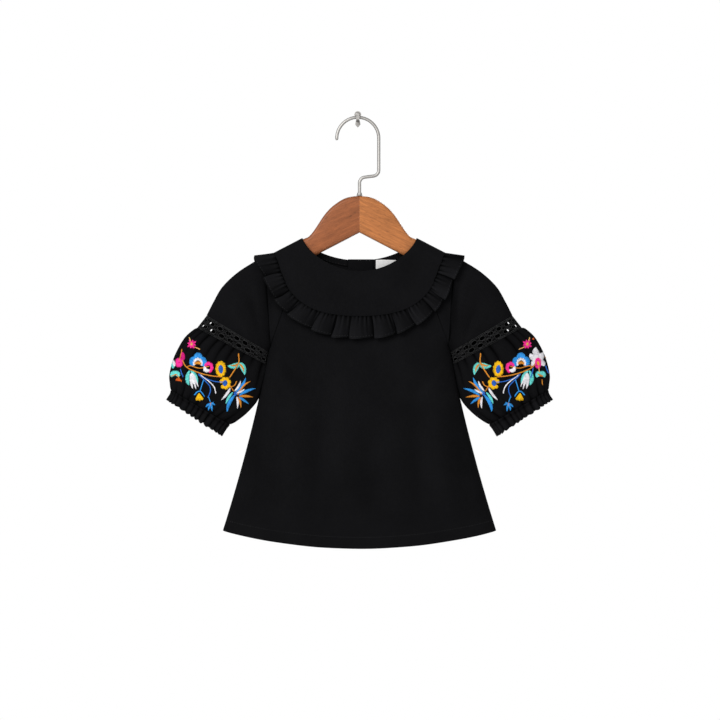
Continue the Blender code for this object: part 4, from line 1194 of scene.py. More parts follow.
def begun_tree(name, *inputs):
    """A geometry tree with named inputs: its graph, its inputs and its lines as curves."""
    tree = bpy.data.node_groups.new(name, "GeometryNodeTree")
    for label, kind, value in (("Lines", "Geometry", None),) + inputs + (
            ("Material", "Material", None),):
        socket = tree.interface.new_socket(label, in_out="INPUT",
                                           socket_type="NodeSocket" + kind)
        if value is not None:
            socket.default_value = value
    tree.interface.new_socket("Mesh", in_out="OUTPUT", socket_type="NodeSocketGeometry")
    graph = Graph(tree)
    given = graph.add("NodeGroupInput")
    curve = graph.add("GeometryNodeMeshToCurve", {}, {"Mesh": given.out("Lines")})
    return graph, given, curve


def ended_tree(graph, given, geometry):
    """Realize the instances, set the material, and give the mesh out."""
    plain = graph.add("GeometryNodeRealizeInstances", {}, {0: geometry.out(0)})
    coated = graph.add("GeometryNodeSetMaterial", {}, {
        "Geometry": plain.out(0), "Material": given.out("Material")})
    graph.add("NodeGroupOutput", {}, {0: coated.out(0)})
    return graph.tree


def line_tree(name):
    """Round threads along lines; radius, corners round a thread, material."""
    graph, given, curve = begun_tree(name, ("Thread Radius", "Float", 0.0003),
                                     ("Thread Corners", "Int", 6))
    profile = graph.add("GeometryNodeCurvePrimitiveCircle", {"mode": "RADIUS"}, {
        "Resolution": given.out("Thread Corners"), "Radius": given.out("Thread Radius")})
    size = graph.add("GeometryNodeInputNamedAttribute", {"data_type": "FLOAT"},
                     {"Name": "thickness"})
    tube = graph.add("GeometryNodeCurveToMesh", {}, {
        "Curve": curve.out(0), "Profile Curve": profile.out(0),
        "Scale": size.out(0), "Fill Caps": True})
    smooth = graph.add("GeometryNodeSetShadeSmooth", {}, {0: tube.out(0)})
    return ended_tree(graph, given, smooth)


def stitch_tree(name):
    """A row of stitches along lines; the stitches lie on the "up" side of a line."""
    graph, given, curve = begun_tree(name, ("Stitch Length", "Float", 0.002),
                                     ("Stitch Gap", "Float", 0.0008),
                                     ("Thread Radius", "Float", 0.00025))
    spaced = graph.add("GeometryNodeResampleCurve", {"mode": "LENGTH"}, {
        "Curve": curve.out(0),
        "Length": given.out("Stitch Length") + given.out("Stitch Gap")})
    bead = graph.add("GeometryNodeMeshUVSphere", {}, {"Segments": 6, "Rings": 4, "Radius": 1.0})
    smooth = graph.add("GeometryNodeSetShadeSmooth", {}, {0: bead.out(0)})
    up = graph.add("GeometryNodeInputNamedAttribute", {"data_type": "FLOAT_VECTOR"},
                   {"Name": "up"})
    tangent = graph.add("GeometryNodeInputTangent")
    turned = graph.add("FunctionNodeAxesToRotation",
                       {"primary_axis": "X", "secondary_axis": "Z"},
                       {0: tangent.out(0), 1: up.out(0)})
    chance = graph.add("FunctionNodeRandomValue", {"data_type": "FLOAT"}, {
        "Seed": 5, 2: 0.8, 3: 1.1})
    half = given.out("Stitch Length") * 0.5 * chance.out(1)
    shape = graph.add("ShaderNodeCombineXYZ", {}, {
        0: half, 1: given.out("Thread Radius"), 2: given.out("Thread Radius")})
    placed = graph.add("GeometryNodeInstanceOnPoints", {}, {
        "Points": spaced.out(0), "Instance": smooth.out(0),
        "Rotation": turned.out(0), "Scale": shape.out(0)})
    return ended_tree(graph, given, placed)


def lines_mesh(name, lines, ups=None, sizes=None, colours=None):
    """A mesh of open lines in millimetres, with what each point carries."""
    places, edges = [], []
    for line in lines:
        start = len(places)
        places += [Vector(((spot[0] + GARMENT_X) * MM, spot[1] * MM, spot[2] * MM))
                   for spot in line]
        edges += [(start + i, start + i + 1) for i in range(len(line) - 1)]
    mesh = bpy.data.meshes.new(name)
    mesh.from_pydata(places, edges, [])
    if ups is not None:
        values = mesh.attributes.new("up", "FLOAT_VECTOR", "POINT")
        values.data.foreach_set("vector", [c for line in ups for up in line for c in up])
    if sizes is not None:
        values = mesh.attributes.new("thickness", "FLOAT", "POINT")
        values.data.foreach_set("value", [size for line in sizes for size in line])
    if colours is not None:
        values = mesh.attributes.new("thread", "FLOAT_COLOR", "POINT")
        values.data.foreach_set("color", [c for line, colour in zip(lines, colours)
                                          for _ in line for c in (*colour, 1.0)])
    return mesh


def grown(name, mesh, tree, settings):
    """Run a geometry tree on a mesh, and keep its result as a plain object."""
    made = bpy.data.objects.new(name, mesh)
    bpy.context.scene.collection.objects.link(made)
    change = made.modifiers.new("grow", "NODES")
    change.node_group = tree
    for item in tree.interface.items_tree:
        if item.item_type == "SOCKET" and item.in_out == "INPUT" and item.name in settings:
            change[item.identifier] = settings[item.name]
    bpy.context.view_layer.update()
    ready = made.evaluated_get(bpy.context.evaluated_depsgraph_get())
    plain = bpy.data.meshes.new_from_object(ready)
    made.modifiers.clear()
    made.data = plain
    plain.name = name
    plain.materials.clear()
    plain.materials.append(settings["Material"])
    plain.polygons.foreach_set("material_index", [0] * len(plain.polygons))
    if not plain.polygons:
        raise RuntimeError("nothing grew for " + name)
    return made


def threads(name, lines, radius, corners, look, **carried):
    """Round threads along lines, with their radius in millimetres."""
    mesh = lines_mesh(name, lines, **carried)
    return grown(name, mesh, tree_named("thread_line"), {
        "Thread Radius": radius * MM, "Thread Corners": corners,
        "Material": look_named(look)})


def surface_of(*pieces):
    """A tree that finds the nearest surface of pieces, in millimetres."""
    places, faces = [], []
    for piece in pieces:
        start = len(places)
        places += [tuple(v.co / MM) for v in piece.data.vertices]
        faces += [[start + i for i in p.vertices] for p in piece.data.polygons]
    return BVHTree.FromPolygons(places, faces)


def dropped(surface, x, z, face, lift):
    """Where a point of the picture plane meets cloth, seen from the front or back."""
    start = Vector((x + GARMENT_X, HANG_Y + face * 120, z))
    hit, normal, _, _ = surface.ray_cast(start, Vector((0, -face, 0)))
    if hit is None:
        return None, None
    if normal.y * face < 0:
        normal = -normal
    return hit - Vector((GARMENT_X, 0, 0)) + normal * lift, normal


def stitch_row(name, surface, lines, face, lift, settings, slot):
    """Stitches that follow lines of the picture plane on a cloth's surface."""
    laid, ups = [], []
    for line in lines:
        spots = []
        for point in line:
            spot, normal = dropped(surface, point[0], point[1], face, lift)
            if spot is not None:
                spots.append((spot, normal))
        if len(spots) > 1:
            laid.append([spot for spot, _ in spots])
            ups.append([normal for _, normal in spots])
    piece = grown(name, lines_mesh(name, laid, ups=ups), tree_named("stitch_row"), settings)
    return place_piece(piece, slot)


def tree_named(name):
    """The geometry tree of that name, made once."""
    made = bpy.data.node_groups.get(name)
    if made is None:
        made = {"stitch_row": stitch_tree, "thread_line": line_tree}[name](name)
    return made


def look_named(name):
    """The material of that name, made once from the panel's settings."""
    made = bpy.data.materials.get(name)
    if made is None:
        made = LOOKS[name](name)
    return made


# Finishes

def cloth_look(name):
    """The cloth's weave, with a painted brightness for each piece, lighter or darker as light falls on it.
    """
    cloth = bpy.context.scene.ruffle_top_cloth
    # Painted light and shade: one cloth made lighter on yoke and sleeves, darker on ruffle and puffs.
    tone = {"body_weave": 1.0, "yoke_weave": 1.06, "ruffle_weave": 0.96,
            "sleeve_weave": 1.05, "puff_weave": 0.74}[name]
    return woven_look(name, cloth.cloth_colour, cloth.weave_pitch / MM, tone)


def lace_look(name):
    """Cotton lace: round cord, and a ground of fine threads with small painted holes, darkened as painted
    shade of the sleeve's inside.
    """
    cloth = bpy.context.scene.ruffle_top_cloth
    look = Look(name, Roughness=0.75, Specular_IOR_Level=0.03)
    where = look.places.out("Object")
    cord = look.noise(where, 900.0, 2.0)
    patch = look.noise(where, 160.0, 2.0)
    tone = (cord * 0.6 + patch * 0.4).scaled(0.35, 0.65)
    thread = look.mix(tone, shade(cloth.lace_colour, 0.6), shade(cloth.lace_colour, 1.3))
    if name == "lace_ground":
        net = look.add("ShaderNodeTexVoronoi", {"feature": "DISTANCE_TO_EDGE"}, {
            "Vector": where, "Scale": 330.0}).out("Distance")
        hole = net.scaled(0.05, 0.12)
        # The small holes are painted, in the cloth's colour darkened to painted shade.
        thread = look.mix(hole, look.mix(0.78, thread, (0.0, 0.0, 0.0)),
                          shade(cloth.cloth_colour, 0.1))
        look.bump(net.scaled(0.0, 0.2) * -1.0, 0.8, 0.4)
    else:
        look.bump(cord, 0.6, 0.2)
    look.feed("Base Color", thread)
    return look.material


def thread_look(name):
    """Glossy embroidery silk that takes its colour from each stitch."""
    look = Look(name, Specular_IOR_Level=0.14)
    given = look.add("ShaderNodeAttribute", {"attribute_name": "thread"})
    where = look.places.out("Object")
    ply = look.noise(where, 1400.0, 2.0)
    soft = look.noise(where, 300.0, 2.0)
    given_colour = given.out("Color")
    dimmer = look.vector("MULTIPLY", given_colour, (0.72, 0.72, 0.72))
    look.feed("Base Color", look.mix((ply * 0.6 + soft * 0.4).scaled(0.35, 0.6),
                                     dimmer, given_colour))
    look.feed("Roughness", soft.scaled(0.3, 0.7, 0.38, 0.6))
    look.bump(ply, 0.35, 0.1)
    return look.material


def sewing_look(name):
    """Matt twisted sewing thread."""
    cloth = bpy.context.scene.ruffle_top_cloth
    look = Look(name, Roughness=0.7, Specular_IOR_Level=0.08)
    ply = look.noise(look.places.out("Object"), 1500.0, 2.0)
    colour = cloth.sewing_colour if name == "sewing_thread" else shade(cloth.cloth_colour, 3)
    look.feed("Base Color", look.mix(ply.scaled(0.3, 0.7), shade(colour, 0.75),
                                     shade(colour, 1.2)))
    look.bump(ply, 0.4, 0.1)
    return look.material


def label_look(name):
    """White woven tape: close cross threads over a satin ground."""
    look = Look(name, Specular_IOR_Level=0.35, Sheen_Weight=0.1)
    uv = look.places.out("UV")
    down = look.axes(uv)[1]
    rib = (down * (2 * pi / (0.42 * MM))).sine()
    fine = look.noise(look.places.out("Object"), 700.0, 2.0)
    look.feed("Base Color", look.mix((rib * 0.15 + fine).scaled(0.2, 0.8),
                                     (0.72, 0.72, 0.71), (0.86, 0.86, 0.855)))
    look.feed("Roughness", fine.scaled(0.3, 0.7, 0.45, 0.6))
    look.bump(rib * 0.4 + fine * 0.5, 0.4, 0.08)
    return look.material


def button_look(name):
    """Polished black button with faint clouds."""
    look = Look(name, Roughness=0.28, Specular_IOR_Level=0.5, Coat_Weight=0.2)
    where = look.places.out("Object")
    cloud = look.noise(where, 420.0, 3.0)
    look.feed("Base Color", look.mix(cloud.scaled(0.3, 0.7), (0.008, 0.008, 0.009),
                                     (0.02, 0.02, 0.022)))
    look.feed("Roughness", cloud.scaled(0.3, 0.7, 0.24, 0.36))
    look.bump(cloud, 0.15, 0.1)
    return look.material


def wood_look(name):
    """Varnished wood whose grain runs down the arm, with painted shade along its top and bottom edges."""
    hanger = bpy.context.scene.ruffle_top_hanger
    side = -1 if name == "oiled_left" else 1
    colour = hanger.wood_left if side < 0 else hanger.wood_right
    look = Look(name, Specular_IOR_Level=0.3, Coat_Roughness=0.3, Coat_Weight=0.06)
    where = look.places.out("Object")
    turned = look.add("ShaderNodeMapping", {"vector_type": "POINT"}, {
        "Vector": where, "Rotation": (0.0, -side * radians(24), 0.0)})
    wander = look.noise(look.vector("MULTIPLY", turned.out(0), (9.0, 95.0, 95.0)),
                        1.0, 3.0, 0.6)
    grain = look.noise(look.vector("MULTIPLY", turned.out(0), (34.0, 560.0, 560.0)),
                       1.0, 4.0, 0.65)
    pores = look.noise(look.vector("MULTIPLY", turned.out(0), (110.0, 1500.0, 1500.0)),
                       1.0, 3.0)
    flecks = look.noise(look.vector("MULTIPLY", turned.out(0), (150.0, 900.0, 900.0)), 1.0, 2.0)
    blotch = look.noise(where, 38.0, 3.0)
    depth = look.axes(where)[1]
    tone = (wander * 0.25 + grain * 0.45 + pores * 0.3).scaled(0.38, 0.62)
    tinted = look.mix(tone, shade(colour, 0.68), shade(colour, 1.22))
    stained = look.mix(blotch.scaled(0.52, 0.74, 0.0, 0.5), tinted, shade(colour, 0.6))
    stained = look.mix(flecks.scaled(0.6, 0.72, 0.0, 0.6), stained, shade(colour, 0.35))
    # Painted shade: darker along the narrow top and bottom faces, where the rounded edges turn away from
    # the light.
    edge = (depth + 0.022).size().scaled(0.0016, 0.0048, 1.0, 0.0)
    look.feed("Base Color", look.mix(edge * 0.8, stained, shade(colour, 0.3)))
    look.feed("Roughness", pores.scaled(0.3, 0.7, 0.4, 0.54))
    look.bump(pores * 0.6 + grain * 0.3, 0.2, 0.1)
    return look.material


def steel_look(name):
    """Nickel plate with soft cloudy wear, and painted dark reflections where it turns sideways."""
    look = Look(name, Metallic=1.0)
    cloud = look.noise(look.places.out("Object"), 90.0, 3.0)
    colour = bpy.context.scene.ruffle_top_hanger.steel_colour
    plate = look.mix(cloud.scaled(0.35, 0.65), shade(colour, 0.92), shade(colour, 1.06))
    # Painted reflection: darker where the surface faces sideways, as dark surroundings would reflect
    # there.
    ahead = look.axes(look.add("ShaderNodeNewGeometry").out("Normal"))[1].size()
    look.feed("Base Color", look.mix(ahead.scaled(0.35, 0.95), shade(colour, 0.2), plate))
    look.feed("Roughness", cloud.scaled(0.3, 0.7, 0.5, 0.56))
    return look.material


def floor_look(name):
    """Pale matt floor."""
    look = Look(name, Roughness=0.9, Specular_IOR_Level=0.1)
    soft = look.noise(look.places.out("Object"), 1.5, 2.0)
    look.feed("Base Color", look.mix(soft, (0.86, 0.86, 0.86), (0.9, 0.9, 0.9)))
    return look.material


LOOKS = {
    "body_weave": cloth_look, "yoke_weave": cloth_look, "ruffle_weave": cloth_look,
    "sleeve_weave": cloth_look, "puff_weave": cloth_look, "lace_ground": lace_look,
    "lace_cord": lace_look, "embroidery_silk": thread_look,
    "sewing_thread": sewing_look, "seam_thread": sewing_look, "white_tape": label_look,
    "button_shell": button_look, "oiled_left": wood_look, "oiled_right": wood_look,
    "nickel_wire": steel_look, "wall_hook_steel": steel_look, "pale_floor": floor_look,
}


# Embroidery

SILKS = {
    "orange": (0.74, 0.28, 0.028), "blue": (0.035, 0.33, 0.82), "deep": (0.025, 0.15, 0.6),
    "pink": (0.95, 0.03, 0.32), "magenta": (0.7, 0.01, 0.22), "white": (0.9, 0.88, 0.92),
    "yellow": (1.0, 0.56, 0.006), "teal": (0.16, 0.76, 0.7), "rust": (0.75, 0.13, 0.012),
    "sand": (0.82, 0.45, 0.14),
}
# Size of one step of the picture in millimetres, and the step where the top's x and z are 0
PIXEL = 1.17
ORIGIN_COLUMN = 359.5
ORIGIN_ROW = 112.8
STAR_X = 192
STAR_Y = 344.2

STITCH_PITCH = 0.42
SATIN_LEAN = 0.45
SILK_RADIUS = 0.27
SILK_STEP = 1.3
SILK_LIFT = 0.12
LAYER_LIFT = 0.16
TOP_LIFT = 0.3
SLIM_WIDTH = 2.3
SMALL_REACH = 4.1
STITCH_ARCH = 0.32
STITCH_STRAY = 0.12

Blade = namedtuple("Blade", "silk x y end_x end_y width bend")
Stem = namedtuple("Stem", "silk width points")
Crown = namedtuple("Crown", "silk x y inner outer tall lobes depth start end")
Oval = namedtuple("Oval", "silk x y wide tall tilt")

# Places are in the picture's own steps, with y down; both sleeves share these
SHARED_MOTIFS = [
    Stem("orange", 1.3, [(183, 360), (187, 367), (197.5, 372), (210, 375.4), (222, 376.8)]),
    Stem("orange", 1.1, [(187.5, 367), (191, 365.8), (199, 368), (204.6, 367.6),
                         (209.5, 366.2)]),
    Stem("orange", 1.4, [(238.6, 353.8), (239, 361.5), (236.6, 367), (229.8, 377.6)]),
    Stem("orange", 1.1, [(230.5, 385.8), (234, 391)]),
    Stem("orange", 1.1, [(230.8, 386.8), (234.8, 385.2), (236.8, 381.2)]),
    Stem("deep", 1.1, [(199.5, 374), (207.3, 378.6), (215.4, 381.3), (223.4, 382)]),
    Stem("blue", 1.1, [(204.2, 379.6), (202.3, 385.6), (200.6, 391)]),
    Stem("deep", 1.2, [(199.5, 374.6), (205.6, 380.6), (210.3, 386), (210.8, 391.4),
                       (208.4, 397.2)]),
    Stem("blue", 1.1, [(209, 396.6), (210.8, 401.8)]),
    Stem("white", 1.3, [(201.5, 375.2), (209.6, 381.4), (214.4, 386.6), (216.3, 393)]),
    # stalks beside the star
    Stem("sand", 1.2, [(189.6, 338), (190.9, 341.2)]),
    Stem("sand", 1.2, [(195.2, 347.2), (200.6, 349.4)]),
    # blue fan flower
    Crown("blue", 198.4, 363.0, 4.4, 9.0, 1.16, 3, 0.3, -28, 206),
    Crown("white", 198.4, 363.4, 2.7, 5.6, 1.1, 9, 0.3, -30, 208),
    Crown("orange", 198.4, 364.0, 0.4, 3.9, 0.7, 1, 0.1, -8, 188),
    # pink drop
    Crown("pink", 208.8, 367.4, 2.0, 5.4, 1.08, 5, 0.12, -84, 160),
    Crown("white", 207.4, 368.6, 0.4, 3.9, 1.0, 4, 0.16, 130, 340),
    # ringed oval
    Crown("yellow", 221.2, 369.0, 2.2, 5.5, 1.5, 11, 0.14, 0, 360),
    Oval("deep", 221.2, 369.2, 2.3, 4.2, -8),
    # leaf pair
    Blade("teal", 239, 362.8, 228, 365.8, 5.4, -2.2),
    Blade("orange", 238.6, 362.9, 230.4, 365.2, 2.28, -1.6),
    Blade("teal", 239.3, 363.4, 244.8, 374.8, 5.2, -1.8),
    Blade("orange", 239.4, 364, 243.6, 372, 2.28, -1.3),
    # scalloped flower
    Crown("yellow", 225.6, 383, 2.2, 6.0, 1.08, 7, 0.24, -150, 180),
    Oval("deep", 225.4, 383, 2.3, 2.9, 12),
    # tulip
    Blade("teal", 190.2, 370.4, 189.8, 385.0, 4.2, 2.2),
    Blade("teal", 191.2, 370.8, 198.4, 383.6, 3.6, -1.6),
    Oval("white", 193.6, 378.4, 3.2, 5.6, -14),
    Blade("white", 191, 374.4, 193.4, 388.6, 2.8, 0.5),
    Blade("white", 192.4, 376, 196.6, 389, 2.4, -0.3),
    Blade("white", 193.6, 376.2, 199, 386.6, 2.0, -0.5),
    # bell
    Crown("yellow", 199.4, 392.6, 0.6, 8.2, 1.0, 3, 0.2, 240, 308),
    Stem("blue", 1.3, [(195.2, 394.6), (198, 391.6), (201.4, 391.4), (205, 396.2)]),
    # small blue flower
    Blade("blue", 211, 403, 206.2, 406.6, 2.2, 0.4),
    Blade("blue", 211, 403, 208.8, 410.2, 2.2, 0.3),
    Blade("blue", 211, 403, 212.4, 410.8, 2.2, -0.2),
    Blade("blue", 211, 403, 215.6, 404.8, 2.0, -0.4),
    Blade("blue", 211, 403.4, 214, 401.6, 1.5, 0.2),
    Oval("orange", 210.8, 404, 0.8, 1.8, 0),
    # palm spray
    Blade("blue", 235.6, 392.6, 245.8, 377.6, 3.2, 1.6),
    Blade("white", 234.8, 391, 240.8, 380.8, 2.3, 1.0),
    Blade("white", 236.4, 393, 244.6, 389, 2.0, 0.6),
    Blade("orange", 238, 395, 250.6, 381.2, 2.4, -2.2),
    Blade("blue", 239.4, 395.4, 255.4, 388.4, 2.9, -1.2),
    Blade("orange", 239.6, 396.4, 252.9, 397.2, 2.5, -0.8),
    Blade("blue", 239, 397, 248.4, 403.6, 2.5, -0.4),
    Blade("orange", 237.8, 396.8, 240.8, 407.6, 2.4, -1.2),
    Blade("white", 236.8, 396.6, 237.4, 408.2, 2.3, -0.9),
    Blade("blue", 235.4, 394.4, 227.4, 411.6, 3.6, 1.8),
    Blade("teal", 233.2, 392, 226.2, 403.6, 2.6, 0.8),
    Blade("white", 230.6, 387.6, 221.6, 399.8, 2.6, -1.0),
    Oval("deep", 235.8, 393.4, 1.9, 1.9, 0),
]
LEFT_MOTIFS = [
    Oval("magenta", 183.2, 356.4, 2.3, 4.2, -10),
    Crown("pink", 179.4, 362.6, 0.5, 4.3, 1.2, 4, 0.2, 0, 360),
    Stem("orange", 1.0, [(182.4, 349.6), (181.6, 354), (179.6, 360.6)]),
    Oval("white", 174.2, 363.4, 1.7, 3.4, -14),
    Oval("teal", 173, 366, 1.4, 2.6, -14),
    Stem("deep", 1.2, [(181.2, 369.4), (182.2, 373), (183.8, 377)]),
    Crown("teal", 175.4, 375, 0.6, 5.4, 0.9, 2, 0.2, -30, 210),
    Stem("orange", 1.1, [(172, 376), (177, 374.6), (180, 378.4)]),
    Blade("rust", 176.2, 380.4, 182.4, 381.6, 2.8, -1.6),
]
RIGHT_MOTIFS = [
    Blade("white", 182, 359.6, 183.4, 347.4, 7.4, 0.4),
    Blade("white", 181.6, 360.4, 175.8, 352.6, 6.4, -0.8),
    Blade("white", 182, 360.4, 189.2, 353.6, 6.4, 0.8),
    Blade("white", 181.6, 360.2, 175.4, 366.2, 6.2, 0.8),
    Blade("white", 181.6, 360.4, 188.6, 365.6, 6.2, -0.8),
    Crown("pink", 181.6, 363.0, 1.0, 4.0, 1.4, 2, 0.2, 0, 360),
    Oval("yellow", 181.4, 363.4, 1.5, 2.0, 20),
    Stem("sand", 1.1, [(181, 365.6), (180.2, 372.6)]),
    Crown("teal", 178.8, 375.4, 0.6, 5.6, 0.9, 2, 0.2, -30, 210),
    Blade("orange", 176.4, 376, 182, 373.6, 2.0, 0.6),
    Stem("orange", 1.0, [(177.6, 379.6), (177.2, 384.6)]),
    Stem("deep", 1.4, [(186.6, 368.2), (187.6, 373), (189, 378)]),
    Stem("deep", 1.3, [(173.8, 366.2), (172.4, 370), (171, 373.4)]),
    Oval("orange", 174, 356.2, 1.0, 1.6, 0),
    Oval("rust", 186, 339.2, 1.2, 0.9, 0),
]


def star_motifs():
    """Eight pink petals round a pale centre."""
    made = []
    for step in range(8):
        turn = radians(45 * step + 12)
        reach = 5.0 if step % 2 else 4.3
        made.append(Blade("pink", STAR_X + cos(turn), STAR_Y + sin(turn),
                          STAR_X + reach * cos(turn),
                          STAR_Y + reach * sin(turn), 2.3, 0.0))
    return made + [Oval("sand", STAR_X, STAR_Y, 1.4, 1.5, 0)]


def stitch_ends(centre, cross, half):
    """Both ends of a stitch that is laid across a centre."""
    return ((centre[0] - cross[0] * half, centre[1] - cross[1] * half),
            (centre[0] + cross[0] * half, centre[1] + cross[1] * half))


def blade_stitches(motif):
    """Satin stitches laid across a pointed petal or leaf."""
    run_x, run_y = motif.end_x - motif.x, motif.end_y - motif.y
    length = hypot(run_x, run_y)
    ahead = (run_x / length, run_y / length)
    aside = (-ahead[1], ahead[0])
    count = max(int(length * PIXEL / STITCH_PITCH), 4)
    for step in range(count):
        t = (step + 0.5) / count
        bend = motif.bend * 4 * t * (1 - t)
        slope = motif.bend * 4 * (1 - 2 * t) / length
        centre = (motif.x + run_x * t + aside[0] * bend, motif.y + run_y * t + aside[1] * bend)
        half = motif.width / 2 * sin(pi * t ** 0.85) ** 0.7
        cross = (aside[0] - ahead[0] * (slope - SATIN_LEAN),
                 aside[1] - ahead[1] * (slope - SATIN_LEAN))
        yield stitch_ends(centre, cross, half)


def stem_stitches(motif):
    """Short slanted stitches that wind along a stem."""
    at, length = along([Point(*spot) for spot in motif.points], 8)
    count = max(int(length * PIXEL / STITCH_PITCH / 0.8), 3)
    for step in range(count):
        here, after = at(length * step / count), at(length * step / count + 0.2)
        run = (after[0] - here[0], after[1] - here[1])
        reach = max(hypot(*run), 1e-6)
        ahead = (run[0] / reach, run[1] / reach)
        aside = (-ahead[1], ahead[0])
        half = motif.width / 2
        cross = (aside[0] * 0.75 + ahead[0] * 0.9, aside[1] * 0.75 + ahead[1] * 0.9)
        yield stitch_ends(here, cross, half)


def crown_stitches(motif):
    """Stitches that run outwards from a centre to a lobed rim."""
    span = abs(motif.end - motif.start)
    rim = radians(span) * motif.outer * 0.85 * PIXEL
    count = max(int(rim / STITCH_PITCH), 6)
    for step in range(count):
        turn = radians(motif.start + (motif.end - motif.start) * (step + 0.5) / count)
        lobe = abs(sin(pi * motif.lobes * (step + 0.5) / count)) ** 0.5
        outer = motif.outer * (1 - motif.depth * (1 - lobe))
        ray = (cos(turn), -sin(turn) * motif.tall)
        yield ((motif.x + ray[0] * motif.inner, motif.y + ray[1] * motif.inner),
               (motif.x + ray[0] * outer, motif.y + ray[1] * outer))


def oval_stitches(motif):
    """Parallel stitches across an oval."""
    tilt = radians(motif.tilt)
    count = max(int(2 * motif.tall * PIXEL / STITCH_PITCH), 4)
    for step in range(count):
        down = motif.tall * (2 * (step + 0.5) / count - 1)
        half = motif.wide * sqrt(max(1 - (down / motif.tall) ** 2, 0.02))
        ends = []
        for across in (-half, half):
            ends.append((motif.x + across * cos(tilt) - down * sin(tilt),
                         motif.y + across * sin(tilt) + down * cos(tilt)))
        yield tuple(ends)


STITCHERS = {Blade: blade_stitches, Stem: stem_stitches, Crown: crown_stitches,
             Oval: oval_stitches}


def embroidery(side, name, surface):
    """Stitched flowers and leaves, each stitch a thread laid on the puff."""
    chance = random.Random(7 if side < 0 else 8)
    motifs = SHARED_MOTIFS + star_motifs() + (LEFT_MOTIFS if side < 0 else RIGHT_MOTIFS)
    lines, sizes, colours = [], [], []
    for level, motif in enumerate(motifs):
        lift = SILK_LIFT + LAYER_LIFT * level / len(motifs)
        slim = getattr(motif, "width", SLIM_WIDTH) < SLIM_WIDTH
        small = getattr(motif, "outer", SMALL_REACH) < SMALL_REACH
        if slim or small or isinstance(motif, Oval):
            lift += TOP_LIFT
        for start, end in STITCHERS[type(motif)](motif):
            ends = []
            for column, row in (start, end):
                stray_x = chance.uniform(-STITCH_STRAY, STITCH_STRAY)
                stray_z = chance.uniform(-STITCH_STRAY, STITCH_STRAY)
                ends.append(Vector(((column + stray_x - ORIGIN_COLUMN) * PIXEL * -side,
                                    0, (ORIGIN_ROW - row - stray_z) * PIXEL)))
            reach = (ends[1] - ends[0]).length
            steps = max(3, ceil(reach / SILK_STEP))
            line, size = [], []
            for step in range(steps + 1):
                t = step / steps
                spot = ends[0].lerp(ends[1], t)
                crown = sin(pi * t)
                place, _ = dropped(surface, spot.x, spot.z, -1,
                                   lift + STITCH_ARCH * crown ** 0.6)
                if place is None:
                    break
                line.append(place)
                size.append(0.55 + 0.45 * crown ** 0.5)
            if len(line) == steps + 1:
                lines.append(line)
                sizes.append(size)
                colours.append(shade(SILKS[motif.silk], chance.uniform(0.86, 1.1)))
    return threads(name, lines, SILK_RADIUS, 5, "embroidery_silk", sizes=sizes, colours=colours)


def lace_threads(side, face, name):
    """Cord laid round the lace's holes, with small knotted rings between them."""
    lines, sizes = [], []
    chance = random.Random(31)

    def lay(points, size):
        lines.append([Vector(mirror_x(lace_at(share, down, face)
                                      + Vector((0, face * LACE_CORD_LIFT, 0)), side))
                      for share, down in points])
        sizes.append([size * chance.uniform(0.75, 1.2) for _ in points])

    def loop(middle, centre, wide, tall, size, count=10):
        lay([(middle + wide * cos(2 * pi * step / count),
              centre + tall * sin(2 * pi * step / count))
             for step in range(count + 1)], size)

    for number, (left, right, top) in enumerate(lace_cells(face)):
        ring = cell_ring(left, right, top, 1.08 * hole_share(face, left), 16)
        lay(ring + ring[:1], 1.05)
        wide, tall = (right - left) / 2, LACE_ROW_HEIGHT / 2
        middle, centre = (left + right) / 2, top + tall
        lean = 1 if number % 2 else -1
        if number % 3 == 0:
            lay([(middle + wide * LACE_HOLE_WIDTH * (0.1 + lean * 0.22 * t),
                  centre + tall * LACE_HOLE_HEIGHT * 1.05 * t)
                 for t in (-1.0, -0.4, 0.2, 1.0)], 0.6)
        loop(middle - wide * 0.98, centre + tall * 0.24 * lean, 0.009, 0.075, 0.7, 8)
    count = 4 * LACE_COLUMNS
    for edge, inner in ((0.0, LACE_BAR), (1.0, 1 - LACE_BAR)):
        middle = (edge + inner) / 2
        for step in range(1, count):
            if chance.random() < 0.4:
                loop(step / count, middle * 0.7 + inner * 0.3, 0.0085, 0.05, 0.65, 7)
        for down in (edge * 0.92 + inner * 0.08, inner):
            lay([(0.004 + 0.992 * step / 60, down) for step in range(61)], 0.8)
    centre_line = LACE_BAR + LACE_ROW_HEIGHT
    lay([(0.004 + 0.992 * step / 90,
          centre_line + 0.035 * sin(step * 1.9)) for step in range(91)], 0.8)
    return threads(name, lines, LACE_CORD_RADIUS, 5, "lace_cord", sizes=sizes)


# Settings

class RUFFLETOP_cloth(bpy.types.PropertyGroup):
    """Colours and sizes of the cloth and its sewing."""
    cloth_colour: FloatVectorProperty(
        name="Cloth colour", description="Colour of the black cloth", subtype="COLOR",
        default=(0.0063, 0.0063, 0.0070), min=0.0, max=1.0)
    lace_colour: FloatVectorProperty(
        name="Lace colour", description="Colour of the lace's cord", subtype="COLOR",
        default=(0.036, 0.036, 0.037), min=0.0, max=1.0)
    weave_pitch: FloatProperty(
        name="Weave pitch", description="Distance between two threads of the weave",
        default=0.0006, min=0.0001, max=0.01, unit="LENGTH", precision=5)
    sewing_colour: FloatVectorProperty(
        name="Sewing colour", description="Colour of the thread of hem and ruffle",
        subtype="COLOR", default=(0.029, 0.029, 0.031), min=0.0, max=1.0)
    stitch_length: FloatProperty(
        name="Stitch length", description="Length of a sewn stitch", default=0.0019,
        min=0.0005, max=0.01, unit="LENGTH", precision=4)
    stitch_gap: FloatProperty(
        name="Stitch gap", description="Cloth between two stitches", default=0.0013,
        min=0.0001, max=0.01, unit="LENGTH", precision=4)
    hem_height: FloatProperty(
        name="Hem height", description="Height of the stitched hem", default=0.0135,
        min=0.003, max=0.05, unit="LENGTH", precision=4)


